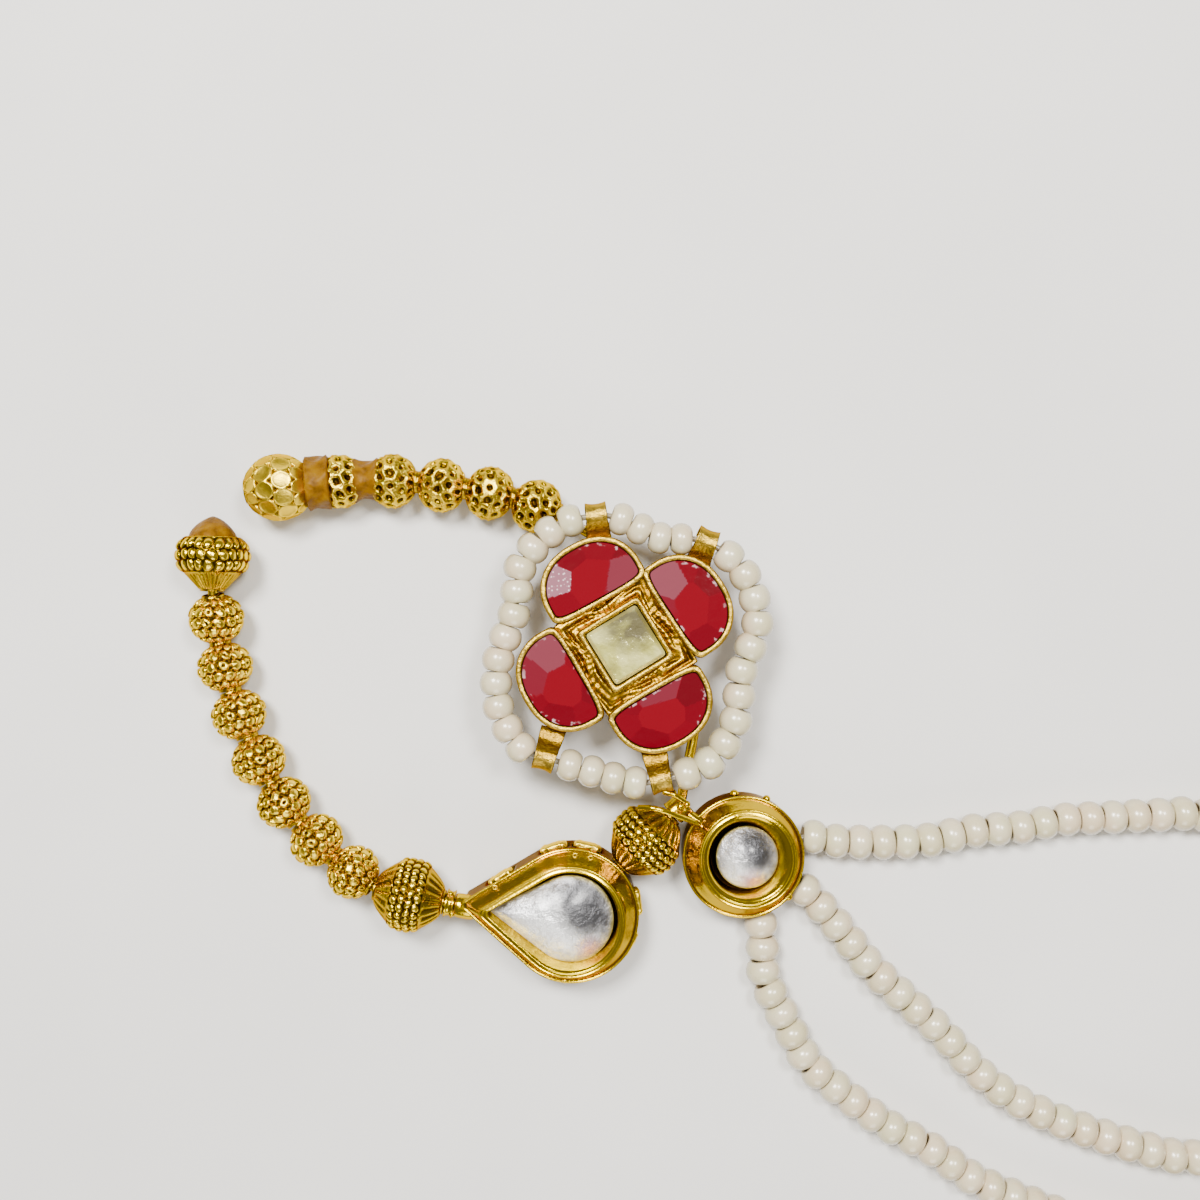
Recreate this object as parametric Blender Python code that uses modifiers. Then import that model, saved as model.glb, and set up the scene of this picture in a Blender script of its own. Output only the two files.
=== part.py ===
"""Bridal nath lying flat: a C-shaped ring of gold beads, a teardrop and a round stone setting,
a flower pendant edged with pearls, and pearl strands that end in a hair hook.

Metres, +Z up. The origin is on the flat back of the teardrop setting, on the surface the jewel lies on.
"""

import math

import bmesh
import bpy
from mathutils import Matrix, Vector

MM = 0.001

# Clearances
BORE_GAP = 0.0003  # between a wire or thread and the bore round it
STONE_GAP = 0.00015  # between a stone and its seat
BEAD_GAP = 0.0003  # between a bead's end and a setting, a tube or a bar

# Ring wire
WIRE_DIAMETER = 0.0009
WIRE_TAIL = 0.0018  # from the middle of the capped bead to the wire's end

# Small beads of the ring
SMALL_BEAD_DIAMETER = 0.0049
SMALL_BEAD_LENGTH = 0.00395
LOWER_BEAD_COUNT = 7
UPPER_BEAD_COUNT = 5
LOWER_BEAD_SPACE = 0.00043
UPPER_BEAD_SPACE = 0.00035

# Belted beads beside the settings, and the two end beads
BELT_BEAD_DIAMETER = 0.0066
BELT_BEAD_LENGTH = 0.0059
BELT_BEAD_SPACE = 0.0007
END_BEAD_DIAMETER = 0.0060
END_BEAD_LENGTH = 0.0054

# Wax on the two arms
WAX_CAP_DIAMETER = 0.0039
WAX_CAP_HEIGHT = 0.0014
WAX_COLLAR_DIAMETER = 0.0046
WAX_SLEEVE_DIAMETER = 0.0034
WAX_WEB = 0.0003  # thickness of the wax between two bead ends
WAX_GAP = 0.0002
WAX_LIP_SLOPE = 0.4  # how fast the wax widens over the beads' shoulders

# Teardrop setting
TEARDROP_RADIUS = 0.00575
TEARDROP_REACH = 0.0095  # from the middle of the round end to the sharp tip
TEARDROP_RIM_HEIGHT = 0.0046
TEARDROP_RIDGE_HEIGHT = 0.0057
TEARDROP_RIDGE_INSET = 0.00095
TEARDROP_SEAT_INSET = 0.0019
TEARDROP_SEAT_HEIGHT = 0.0038
TEARDROP_STONE_HEIGHT = 0.0017
TEARDROP_CENTRE = (0.00197, 0.00030)
TEARDROP_TURN = math.radians(-5.7)
TEARDROP_HEAD_SHIFT = (-0.0001, -0.0003)  # the ridge sits a little off the middle, as bent by hand
SLOT_LENGTH = 0.0026
SLOT_HEIGHT = 0.0016
SLOT_DEPTH = 0.0004
SLOT_ANGLES = (-100, -62, -24, 14, 82, 112)  # degrees from the way away from the tip
TIP_COLLAR_LENGTH = 0.0024

# Round setting
ROUND_RADIUS = 0.00525
ROUND_RIM_HEIGHT = 0.0035
ROUND_RIDGE_HEIGHT = 0.0046
ROUND_RIDGE_INSET = 0.00105
ROUND_SEAT_INSET = 0.0024
ROUND_SEAT_HEIGHT = 0.0031
ROUND_STONE_HEIGHT = 0.0015
ROUND_CENTRE = (0.01697, 0.00515)
ROUND_HEAD_SHIFT = (0.0003, 0.0)
LUG_LENGTH = 0.0014
LUG_ARM_DIAMETER = 0.0011

# Settings and tubes
RIDGE_WIDTH = 0.00022
SETTING_FOOT = 0.0003  # the bevel round a setting's back
TUBE_WALL = 0.0004
TUBE_SOLDER = 0.00025  # how far a back tube is sunk in the flower's back plate
BORE_DEPTH = 0.0013

# Flower pendant
FLOWER_CENTRE = (0.00662, 0.02380)
FLOWER_TURN = math.radians(31.6)
UNDER_FLOWER_HEIGHT = 0.0034  # of the wire where it passes behind the flower
FLOWER_DEPTH = 0.0022
BACK_PLATE = 0.0005
SQUARE_SIDE = 0.00915
CHANNEL_DEPTH = 0.0007
BEZEL_SIDE = 0.00610
BEZEL_WALL = 0.00045
BEZEL_RISE = 0.0006
PETAL_CHORD = 0.0089
PETAL_REACH = 0.0053
PETAL_WALL = 0.0005
PETAL_ROUNDING = 0.0015  # from the petal's straight side to its widest line
PETAL_CUT_TABLE = 0.42
CENTRE_CUT_TABLE = 0.5
BACK_TUBE_LENGTH = 0.0022
BACK_TUBE_PLACES = (0.0160, 0.0268)  # along the upper wire, from the round setting's side

# Pearls round the flower
RING_PEARL_DIAMETER = 0.00285
RING_THREAD_DIAMETER = 0.0007
BAIL_LENGTH = 0.0019
BAIL_DIAMETER = 0.0024
BAIL_BRIDGE_WIDTH = 0.0014
RING_PEARL_RISE = 0.0013  # of the pearls' middle above the flower's back
PEARLS_BETWEEN_BAILS = (12, 4, 11, 4)

# Pearl strands
STRAND_PEARL_DIAMETER = 0.00305
STRAND_PEARL_LENGTH = 0.00203
STRAND_THREAD_DIAMETER = 0.0006
THREAD_END = 0.0009  # how deep a thread's end sits in its bore

# Hair hook
BAR_CENTRE = (0.0790, -0.0090)
BAR_LENGTH = 0.0108
BAR_WIDTH = 0.0024
STRAND_SPACING = 0.0038
HOOK_WIRE_DIAMETER = 0.0012
HOOK_BEND_RADIUS = 0.0018
HOOK_SHANK = 0.0035

# Sides of the round pieces
BEAD_SIDES = 10
BELT_SIDES = 16
END_SIDES = 14
SETTING_SIDES = 24
PETAL_SIDES = 14
PEARL_SIDES = 10
WIRE_SIDES = 6
ROD_SIDES = 8
TUBE_SIDES = 8

SMALL_R = SMALL_BEAD_DIAMETER / 2
BELT_R = BELT_BEAD_DIAMETER / 2
END_R = END_BEAD_DIAMETER / 2
BORE_R = WIRE_DIAMETER / 2 + BORE_GAP
TUBE_R = BORE_R + TUBE_WALL
STRAND_BORE_R = STRAND_THREAD_DIAMETER / 2 + BORE_GAP
STRAND_HEIGHT = STRAND_PEARL_DIAMETER / 2
HALF_WAY_HEIGHT = (UNDER_FLOWER_HEIGHT + SMALL_R) / 2
FLOWER_BACK = UNDER_FLOWER_HEIGHT + TUBE_R - TUBE_SOLDER
RING_PEARL_HEIGHT = FLOWER_BACK + RING_PEARL_RISE

# Routes of the strings, seen from above: (x, y) in millimetres, with the height in metres
LOWER_ROUTE = [
    (-12.1, 1.3, BELT_R), (-14.8, 2.25, BELT_R), (-17.1, 3.4, SMALL_R), (-20.4, 6.3, SMALL_R),
    (-23.3, 9.4, SMALL_R), (-25.5, 13.2, SMALL_R), (-27.3, 17.2, SMALL_R), (-28.6, 21.4, SMALL_R),
    (-29.3, 25.7, SMALL_R), (-29.45, 28.3, BELT_R), (-29.5, 31.1, BELT_R), (-29.4, 34.0, BELT_R),
]
UPPER_ROUTE = [
    (10.7, 8.9, BELT_R), (12.2, 11.9, BELT_R), (12.8, 16.2, UNDER_FLOWER_HEIGHT),
    (12.3, 20.6, UNDER_FLOWER_HEIGHT), (10.6, 25.4, UNDER_FLOWER_HEIGHT),
    (7.9, 29.6, UNDER_FLOWER_HEIGHT), (3.7, 33.4, HALF_WAY_HEIGHT), (-1.1, 36.0, SMALL_R),
    (-4.9, 36.9, SMALL_R), (-9.1, 37.7, SMALL_R), (-13.4, 38.1, SMALL_R), (-17.8, 38.1, SMALL_R),
    (-23.3, 37.6, END_R), (-26.0, 37.2, END_R),
]
FIRST_UPPER_BEAD_POINT = 9  # of the upper wire's points, its first two included
SIDE_DIRECTION = (8.4, 6.5)  # the upper wire leaves the teardrop's round end towards this place
# Relative to the flower's middle, from the top bail round by the left
PEARL_RING_ROUTE = [
    (-2.5, 11.0), (-5.8, 10.1), (-8.9, 6.9), (-9.5, 2.8), (-10.9, -1.2), (-10.9, -5.3), (-9.0, -8.8),
    (-6.9, -9.7), (-2.8, -10.9), (0.5, -11.8), (3.0, -11.6), (7.1, -10.2), (9.4, -6.6), (9.9, -2.4),
    (11.3, 1.8), (10.2, 6.0), (6.9, 8.8), (3.0, 9.1), (-0.3, 10.7),
]
PEARL_RING_BAILS = (0, 7, 10, 16)  # which of its points lie in a bail
STRAND_ROUTES = {
    "top": [
        (23.2, 6.6), (25.5, 6.2), (29.8, 6.1), (33.7, 6.3), (37.5, 7.1), (41.6, 7.4), (45.4, 8.1),
        (49.4, 8.3), (53.6, 8.5), (58.0, 8.5), (63.8, 6.6), (68.4, 2.6), (71.6, -2.0),
    ],
    "middle": [
        (22.7, 1.8), (25.5, -1.3), (28.4, -4.9), (31.4, -7.7), (34.6, -10.6), (37.5, -13.8),
        (40.4, -16.2), (44.2, -18.2), (48.2, -19.7), (52.4, -21.0), (56.6, -21.9), (61.2, -21.2),
        (65.2, -17.8), (68.4, -12.8),
    ],
    "lower": [
        (18.8, -1.6), (18.9, -3.8), (19.1, -6.1), (20.9, -9.7), (23.0, -13.5), (26.3, -16.4),
        (29.9, -19.0), (33.9, -21.2), (37.6, -23.8), (41.7, -25.6), (48.0, -27.9), (54.4, -29.0),
        (60.6, -28.5), (66.6, -25.4), (70.8, -20.0),
    ],
}
STRAND_ROWS = {"top": 1, "middle": 0, "lower": -1}  # which bore of the hair hook each strand ends in

# Turned outlines: (share of the piece's own radius, share of its half length), from the top down
SMALL_BEAD_OUTLINE = [(0.43, 1.0), (0.78, 0.72), (1.0, 0.25), (1.0, -0.25), (0.78, -0.72), (0.43, -1.0)]
BELT_BEAD_OUTLINE = [(0.36, 1.0), (0.44, 0.82), (1.0, 0.32), (1.0, -0.32), (0.44, -0.82), (0.36, -1.0)]
CAPPED_BEAD_OUTLINE = [(0.62, 0.62), (1.0, 0.32), (1.0, -0.32), (0.44, -0.82), (0.36, -1.0)]
END_BEAD_OUTLINE = [(0.42, 1.0), (0.78, 0.76), (1.0, 0.25), (1.0, -0.25), (0.78, -0.76), (0.42, -1.0)]
STONE_ROWS = [(0.0, 0.0), (0.0, 0.3), (0.22, 0.75), (0.6, 1.0)]  # a domed stone: (drawn in, risen)
WAX_CAP_OUTLINE = [(0.0, 1.0), (0.62, 0.86), (0.94, 0.45), (1.0, 0.0), (0.0, 0.0)]


def new_collection(name):
    collection = bpy.data.collections.new(name)
    bpy.context.scene.collection.children.link(collection)
    return collection


def clear_scene():
    for obj in list(bpy.data.objects):
        bpy.data.objects.remove(obj, do_unlink=True)


clear_scene()
NATH = new_collection("nath")
SHAPING = new_collection("shaping_pieces")


def finish(name, colour, roughness, metallic=0.0, transmission=0.0):
    material = bpy.data.materials.new(name)
    material.use_nodes = True
    shader = material.node_tree.nodes["Principled BSDF"]
    shader.inputs["Base Color"].default_value = (*colour, 1.0)
    shader.inputs["Roughness"].default_value = roughness
    shader.inputs["Metallic"].default_value = metallic
    shader.inputs["Transmission Weight"].default_value = transmission
    material.diffuse_color = (*colour, 1.0)
    return material


def bright_gold(name):
    return finish(name + "_finish", (0.90, 0.58, 0.12), 0.22, metallic=1.0)


def antique_gold(name):
    return finish(name + "_finish", (0.68, 0.45, 0.14), 0.38, metallic=1.0)


def wax(name):
    return finish(name + "_finish", (0.55, 0.30, 0.05), 0.45)


def pearl(name):
    return finish(name + "_finish", (0.88, 0.84, 0.76), 0.25)


def clear_glass(name):
    return finish(name + "_finish", (0.86, 0.86, 0.88), 0.08, transmission=0.5)


def red_glass(name):
    return finish(name + "_finish", (0.45, 0.01, 0.03), 0.08, transmission=0.3)


def yellow_glass(name):
    return finish(name + "_finish", (0.76, 0.74, 0.42), 0.12, transmission=0.4)


class Route:
    """A smooth curve through the given points, asked for places by the length along it."""

    STEPS = 12

    def __init__(self, points, closed=False):
        count = len(points)
        spans = count if closed else count - 1
        self.places = []
        self.knots = []
        self.lengths = [0.0]
        for span in range(spans):
            a, b, c, d = (self._corner(points, span + k, closed) for k in (-1, 0, 1, 2))
            for step in range(self.STEPS):
                self._add(self._blend(a, b, c, d, step / self.STEPS))
                if step == 0:
                    self.knots.append(self.lengths[-1])
        self._add(points[0] if closed else points[-1])
        self.knots.append(self.lengths[-1])
        self.length = self.lengths[-1]

    @staticmethod
    def _corner(points, index, closed):
        if closed:
            return points[index % len(points)]
        if index < 0:
            return points[0] * 2 - points[1]
        if index >= len(points):
            return points[-1] * 2 - points[-2]
        return points[index]

    @staticmethod
    def _blend(a, b, c, d, t):
        return 0.5 * (2 * b + (c - a) * t + (2 * a - 5 * b + 4 * c - d) * t**2 + (3 * b - a - 3 * c + d) * t**3)

    def _add(self, place):
        if self.places:
            self.lengths.append(self.lengths[-1] + (place - self.places[-1]).length)
        self.places.append(place)

    def at(self, along):
        """The place that far along, running straight on past either end."""
        index = 0
        while index < len(self.places) - 2 and self.lengths[index + 1] < along:
            index += 1
        start, end = self.places[index], self.places[index + 1]
        return start + (end - start) * ((along - self.lengths[index]) / (end - start).length)

    def heading(self, along, reach=0.001):
        return (self.at(along + reach) - self.at(along - reach)).normalized()


def lifted(points, height=None):
    """Millimetre points as vectors in metres, at one height or at their own."""
    if height is None:
        return [Vector((x * MM, y * MM, z)) for x, y, z in points]
    return [Vector((x * MM, y * MM, height)) for x, y in points]


def place_object(name, data, material, collection=NATH):
    obj = bpy.data.objects.new(name, data)
    collection.objects.link(obj)
    if material:
        data.materials.append(material)
    return obj


def smooth(mesh, angle=math.radians(40)):
    mesh.shade_smooth()
    mesh.set_sharp_from_angle(angle=angle)


def as_mesh(curve_object):
    """The curve made one closed mesh, in the same place; the curve is removed."""
    bpy.context.view_layer.update()
    graph = bpy.context.evaluated_depsgraph_get()
    mesh = bpy.data.meshes.new_from_object(curve_object.evaluated_get(graph))
    shape = bmesh.new()
    shape.from_mesh(mesh)
    bmesh.ops.remove_doubles(shape, verts=shape.verts, dist=0.000001)
    bmesh.ops.recalc_face_normals(shape, faces=shape.faces)
    shape.to_mesh(mesh)
    shape.free()
    name = curve_object.name
    made = bpy.data.objects.new(name, mesh)
    made.matrix_world = curve_object.matrix_world
    curve_object.users_collection[0].objects.link(made)
    bpy.data.objects.remove(curve_object, do_unlink=True)
    made.name = name
    return made


def string_curve(name, points, radii, material, sides, closed=False, collection=NATH):
    """A round string through the points, as thick at each as its radius."""
    curve = bpy.data.curves.new(name, "CURVE")
    curve.dimensions = "3D"
    widest = max(radii)
    curve.bevel_depth = widest
    curve.bevel_resolution = sides // 2 - 2  # each step adds a side to either half of the round
    curve.use_fill_caps = not closed
    spline = curve.splines.new("POLY")
    spline.points.add(len(points) - 1)
    for target, place, radius in zip(spline.points, points, radii):
        target.co = (*place, 1.0)
        target.radius = radius / widest
    spline.use_cyclic_u = closed
    spline.use_smooth = True
    return place_object(name, curve, material, collection)


def rod(name, points, radius, sides=ROD_SIDES):
    """A plain round rod among the shaping pieces, as a mesh."""
    return as_mesh(string_curve(name, points, [radius] * len(points), None, sides, collection=SHAPING))


def tube(name, start, end, radius, bore):
    """A plain hollow tube among the shaping pieces."""
    turn = (end - start).to_track_quat("Z", "Y")
    points = []
    for place, reach in ((start, radius), (end, radius), (end, bore), (start, bore)):
        for i in range(TUBE_SIDES):
            angle = 2 * math.pi * (i + 0.5) / TUBE_SIDES
            points.append(place + turn @ Vector((reach * math.cos(angle), reach * math.sin(angle), 0.0)))
    faces = []
    for ring in range(4):
        near, far = ring * TUBE_SIDES, (ring + 1) % 4 * TUBE_SIDES
        for i in range(TUBE_SIDES):
            j = (i + 1) % TUBE_SIDES
            faces.append((near + i, near + j, far + j, far + i))
    mesh = bpy.data.meshes.new(name)
    mesh.from_pydata(points, [], faces)
    return place_object(name, mesh, None, SHAPING)


def plate(name, outline, bottom, top, collection=SHAPING):
    """A flat outline with straight sides from one height to the other."""
    curve = bpy.data.curves.new(name, "CURVE")
    curve.dimensions = "2D"
    curve.fill_mode = "BOTH"
    curve.extrude = (top - bottom) / 2
    spline = curve.splines.new("POLY")
    spline.points.add(len(outline) - 1)
    for target, (x, y) in zip(spline.points, outline):
        target.co = (x, y, 0.0, 1.0)
    spline.use_cyclic_u = True
    obj = place_object(name, curve, None, collection)
    obj.location.z = (top + bottom) / 2
    return as_mesh(obj)


def block(name, centre, size, turn=0.0):
    mesh = bpy.data.meshes.new(name)
    shape = bmesh.new()
    bmesh.ops.create_cube(shape, size=1.0)
    bmesh.ops.scale(shape, vec=size, verts=shape.verts)
    shape.to_mesh(mesh)
    shape.free()
    obj = place_object(name, mesh, None, SHAPING)
    obj.location = centre
    obj.rotation_euler.z = turn
    return obj


def combine(obj, other, operation):
    """Adds the other shape to the object, or cuts it away."""
    step = obj.modifiers.new(other.name, "BOOLEAN")
    step.operation = operation
    step.solver = "EXACT"
    step.object = other
    other.hide_render = True
    other.display_type = "WIRE"


def join(obj, other):
    combine(obj, other, "UNION")


def cut(obj, other):
    combine(obj, other, "DIFFERENCE")


def turned_mesh(name, profile, closed):
    mesh = bpy.data.meshes.new(name)
    count = len(profile)
    edges = [(i, i + 1) for i in range(count - 1)]
    if closed:
        edges.append((count - 1, 0))
    mesh.from_pydata([(r, 0.0, z) for r, z in profile], edges, [])
    return mesh


def turned(name, mesh, sides, material, place, heading=Vector((0, 0, 1))):
    """A turned piece, its own axis laid along the heading."""
    obj = place_object(name, mesh, None)
    if not mesh.materials:
        mesh.materials.append(material)
    obj.material_slots[0].link = "OBJECT"
    obj.material_slots[0].material = material
    obj.location = place
    obj.rotation_euler = heading.to_track_quat("Z", "Y").to_euler()
    screw = obj.modifiers.new("turn", "SCREW")
    screw.axis = "Z"
    screw.steps = sides
    screw.render_steps = sides
    screw.use_merge_vertices = True
    screw.merge_threshold = 0.000001
    screw.use_smooth_shade = True
    return obj


def bored_profile(outline, radius, half_length, bore):
    """The outline in real sizes, closed round a straight bore."""
    outer = [(share * radius, height * half_length) for share, height in outline]
    return outer + [(bore, outer[-1][1]), (bore, outer[0][1])]


def loft(name, rings, material, collection=NATH):
    """A closed solid through rings of as many points each, in the rings' order."""
    count = len(rings[0])
    points = [place for ring in rings for place in ring]
    faces = [tuple(reversed(range(count)))]
    for level in range(len(rings) - 1):
        low, high = level * count, (level + 1) * count
        for i in range(count):
            j = (i + 1) % count
            faces.append((low + i, low + j, high + j, high + i))
    faces.append(tuple(range(len(points) - count, len(points))))
    mesh = bpy.data.meshes.new(name)
    mesh.from_pydata(points, [], faces)
    smooth(mesh)
    return place_object(name, mesh, material, collection)


def cut_stone(name, rings, material):
    """The flat-faced stone that the rings' points span."""
    shape = bmesh.new()
    for ring in rings:
        for place in ring:
            shape.verts.new(place)
    made = bmesh.ops.convex_hull(shape, input=shape.verts)
    spare = {v for v in made["geom_interior"] + made["geom_unused"] if isinstance(v, bmesh.types.BMVert)}
    bmesh.ops.delete(shape, geom=list(spare), context="VERTS")
    bmesh.ops.recalc_face_normals(shape, faces=shape.faces)
    mesh = bpy.data.meshes.new(name)
    shape.to_mesh(mesh)
    shape.free()
    return place_object(name, mesh, material)


def teardrop_outline(inset, arc_steps=18, tip_steps=4):
    """(x, y) round a teardrop, its round end about the middle and its tip on -X, drawn in by the inset."""
    tip_radius = 0.0004
    slope = math.asin((TEARDROP_RADIUS - tip_radius) / (TEARDROP_REACH - tip_radius))
    radius = TEARDROP_RADIUS - inset
    tip_middle = -(radius - tip_radius) / math.sin(slope)
    turn = math.pi / 2 + slope
    points = []
    for i in range(arc_steps + 1):
        angle = -turn + 2 * turn * i / arc_steps
        points.append((radius * math.cos(angle), radius * math.sin(angle)))
    for i in range(tip_steps + 1):
        angle = turn + 2 * (math.pi - turn) * i / tip_steps
        points.append((tip_middle + tip_radius * math.cos(angle), tip_radius * math.sin(angle)))
    return points


def round_outline(radius):
    angles = [2 * math.pi * i / SETTING_SIDES for i in range(SETTING_SIDES)]
    return [(radius * math.cos(angle), radius * math.sin(angle)) for angle in angles]


def raised(outline, height, shift=(0.0, 0.0)):
    return [Vector((x + shift[0], y + shift[1], height)) for x, y in outline]


def square_outline(side):
    half = side / 2
    return [(-half, -half), (half, -half), (half, half), (-half, half)]


def petal_outline(inset, steps=PETAL_SIDES):
    """(x, y) of a D-shaped petal on the square's +X side, drawn in by the inset: a flattened
    half round on the outer side, and a nearly straight chord with rounded corners on the inner."""
    widest = SQUARE_SIDE / 2 - PETAL_WALL / 2 + PETAL_ROUNDING
    half_chord = PETAL_CHORD / 2 - inset
    outward = PETAL_REACH - PETAL_ROUNDING + PETAL_WALL / 2 - inset
    inward = PETAL_ROUNDING - inset
    points = []
    for i in range(steps):
        angle = 2 * math.pi * (i + 0.5) / steps
        across, along = math.cos(angle), math.sin(angle)
        power, reach = (0.95, outward) if across > 0 else (0.4, inward)
        x = widest + reach * math.copysign(abs(across) ** power, across)
        y = half_chord * math.copysign(abs(along) ** (0.85 if across > 0 else 0.6), along)
        points.append((x, y))
    return points


ROUND_MIDDLE = Vector((*ROUND_CENTRE, 0.0))
TEARDROP_MIDDLE = Vector((*TEARDROP_CENTRE, 0.0))
FLOWER_MIDDLE = Vector((*FLOWER_CENTRE, 0.0))


def teardrop_tip():
    """The point of the teardrop's outline where the lower wire leaves it."""
    axis = Matrix.Rotation(TEARDROP_TURN, 3, "Z") @ Vector((1.0, 0.0, 0.0))
    return TEARDROP_MIDDLE - axis * TEARDROP_REACH + Vector((0.0, 0.0, BELT_R))


def teardrop_side():
    """The point on the round end's wall where the upper wire leaves it, and the way out."""
    outward = (Vector((SIDE_DIRECTION[0] * MM, SIDE_DIRECTION[1] * MM, 0.0)) - TEARDROP_MIDDLE).normalized()
    return TEARDROP_MIDDLE + outward * TEARDROP_RADIUS + Vector((0.0, 0.0, BELT_R)), outward


LOWER_BELT = TIP_COLLAR_LENGTH / 2 + BELT_BEAD_SPACE + BELT_BEAD_LENGTH / 2  # along the lower wire
UPPER_BELT = BEAD_GAP + BELT_BEAD_LENGTH / 2  # along the upper wire
TIP_POINT = teardrop_tip()
SIDE_POINT, SIDE_OUTWARD = teardrop_side()
LOWER_WIRE = Route([TIP_POINT, *lifted(LOWER_ROUTE)])
TIP_OUTWARD = LOWER_WIRE.heading(0.0, TIP_COLLAR_LENGTH / 2)
UPPER_WIRE = Route([SIDE_POINT, SIDE_POINT + SIDE_OUTWARD * UPPER_BELT, *lifted(UPPER_ROUTE)])
PEARL_RING = Route([p + FLOWER_MIDDLE for p in lifted(PEARL_RING_ROUTE, RING_PEARL_HEIGHT)], closed=True)


def lower_places():
    """Length along the lower wire of each small bead and of the end bead."""
    first = LOWER_BELT + BELT_BEAD_LENGTH / 2 + BELT_BEAD_SPACE + SMALL_BEAD_LENGTH / 2
    pitch = SMALL_BEAD_LENGTH + LOWER_BEAD_SPACE
    small = [first + pitch * i for i in range(LOWER_BEAD_COUNT)]
    end = small[-1] + SMALL_BEAD_LENGTH / 2 + BELT_BEAD_SPACE + BELT_BEAD_LENGTH / 2
    return small, end


def upper_places():
    """Length along the upper wire of each small bead and of the end bead, with the wax sleeve
    before the last small bead and the wax collar after it."""
    pitch = SMALL_BEAD_LENGTH + UPPER_BEAD_SPACE
    first = UPPER_WIRE.knots[FIRST_UPPER_BEAD_POINT]
    small = [first + pitch * i for i in range(UPPER_BEAD_COUNT)]
    wax_space = WAX_WEB + 2 * WAX_GAP
    small[-1] = small[-2] + SMALL_BEAD_LENGTH + wax_space
    end = small[-1] + SMALL_BEAD_LENGTH / 2 + wax_space + END_BEAD_LENGTH / 2
    return small, end


def through(route, along, length):
    """The ends of a straight run of wire along a bead or tube of that length."""
    return [route.at(along - length / 2), route.at(along + length / 2)]


def make_ring_wires():
    """Two bent wires: one from the teardrop's tip, one from its round end behind the flower.
    Each runs straight through a bead and bends between them."""
    small, end = lower_places()
    points = [TIP_POINT - TIP_OUTWARD * (BORE_DEPTH - BORE_GAP), TIP_POINT]
    points += through(LOWER_WIRE, LOWER_BELT, BELT_BEAD_LENGTH)
    for along in small:
        points += through(LOWER_WIRE, along, SMALL_BEAD_LENGTH)
    start, stop = through(LOWER_WIRE, end, BELT_BEAD_LENGTH)
    points += [start, (start + stop) / 2 + (stop - start).normalized() * WIRE_TAIL]
    ring_wire("lower_wire", points)

    small, end = upper_places()
    points = [SIDE_POINT - SIDE_OUTWARD * (BORE_DEPTH - BORE_GAP), SIDE_POINT]
    points += through(UPPER_WIRE, UPPER_BELT, BELT_BEAD_LENGTH)
    points += through(UPPER_WIRE, lug_place(), LUG_LENGTH)
    tubes = [through(UPPER_WIRE, along, BACK_TUBE_LENGTH) for along in BACK_TUBE_PLACES]
    bend = (BACK_TUBE_PLACES[0] + BACK_TUBE_PLACES[1]) / 2
    clear = (BACK_TUBE_PLACES[1] + small[0]) / 2
    points += [*tubes[0], UPPER_WIRE.at(bend), *tubes[1], UPPER_WIRE.at(clear)]
    for along in small:
        points += through(UPPER_WIRE, along, SMALL_BEAD_LENGTH)
    points += through(UPPER_WIRE, end, END_BEAD_LENGTH)
    ring_wire("upper_wire", points)


def ring_wire(name, points):
    string_curve(name, points, [WIRE_DIAMETER / 2] * len(points), bright_gold(name), WIRE_SIDES)


def make_beads():
    """The gold beads of both arms, each bored for the wire."""
    small_mesh = turned_mesh(
        "small_bead", bored_profile(SMALL_BEAD_OUTLINE, SMALL_R, SMALL_BEAD_LENGTH / 2, BORE_R), closed=True
    )
    belt_mesh = turned_mesh(
        "belt_bead", bored_profile(BELT_BEAD_OUTLINE, BELT_R, BELT_BEAD_LENGTH / 2, BORE_R), closed=True
    )
    small, end = lower_places()
    string_bead("band_bead_left", belt_mesh, BELT_SIDES, LOWER_WIRE, LOWER_BELT, BELT_BEAD_LENGTH)
    for number, along in enumerate(small, start=1):
        string_bead(f"lower_bead_{number}", small_mesh, BEAD_SIDES, LOWER_WIRE, along, SMALL_BEAD_LENGTH)
    capped = bored_profile(CAPPED_BEAD_OUTLINE, BELT_R, BELT_BEAD_LENGTH / 2, BORE_R)
    capped_mesh = turned_mesh("lower_end_bead", capped, closed=True)
    string_bead("lower_end_bead", capped_mesh, BELT_SIDES, LOWER_WIRE, end, BELT_BEAD_LENGTH)

    string_bead("band_bead_right", belt_mesh, BELT_SIDES, UPPER_WIRE, UPPER_BELT, BELT_BEAD_LENGTH)
    small, end = upper_places()
    for number, along in enumerate(small, start=1):
        string_bead(f"upper_bead_{number}", small_mesh, BEAD_SIDES, UPPER_WIRE, along, SMALL_BEAD_LENGTH)
    large = bored_profile(END_BEAD_OUTLINE, END_R, END_BEAD_LENGTH / 2, BORE_R)
    large_mesh = turned_mesh("upper_end_bead", large, closed=True)
    string_bead("upper_end_bead", large_mesh, END_SIDES, UPPER_WIRE, end, END_BEAD_LENGTH)


def string_bead(name, mesh, sides, route, along, length):
    start, end = through(route, along, length)
    turned(name, mesh, sides, bright_gold(name), (start + end) / 2, end - start)


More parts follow.
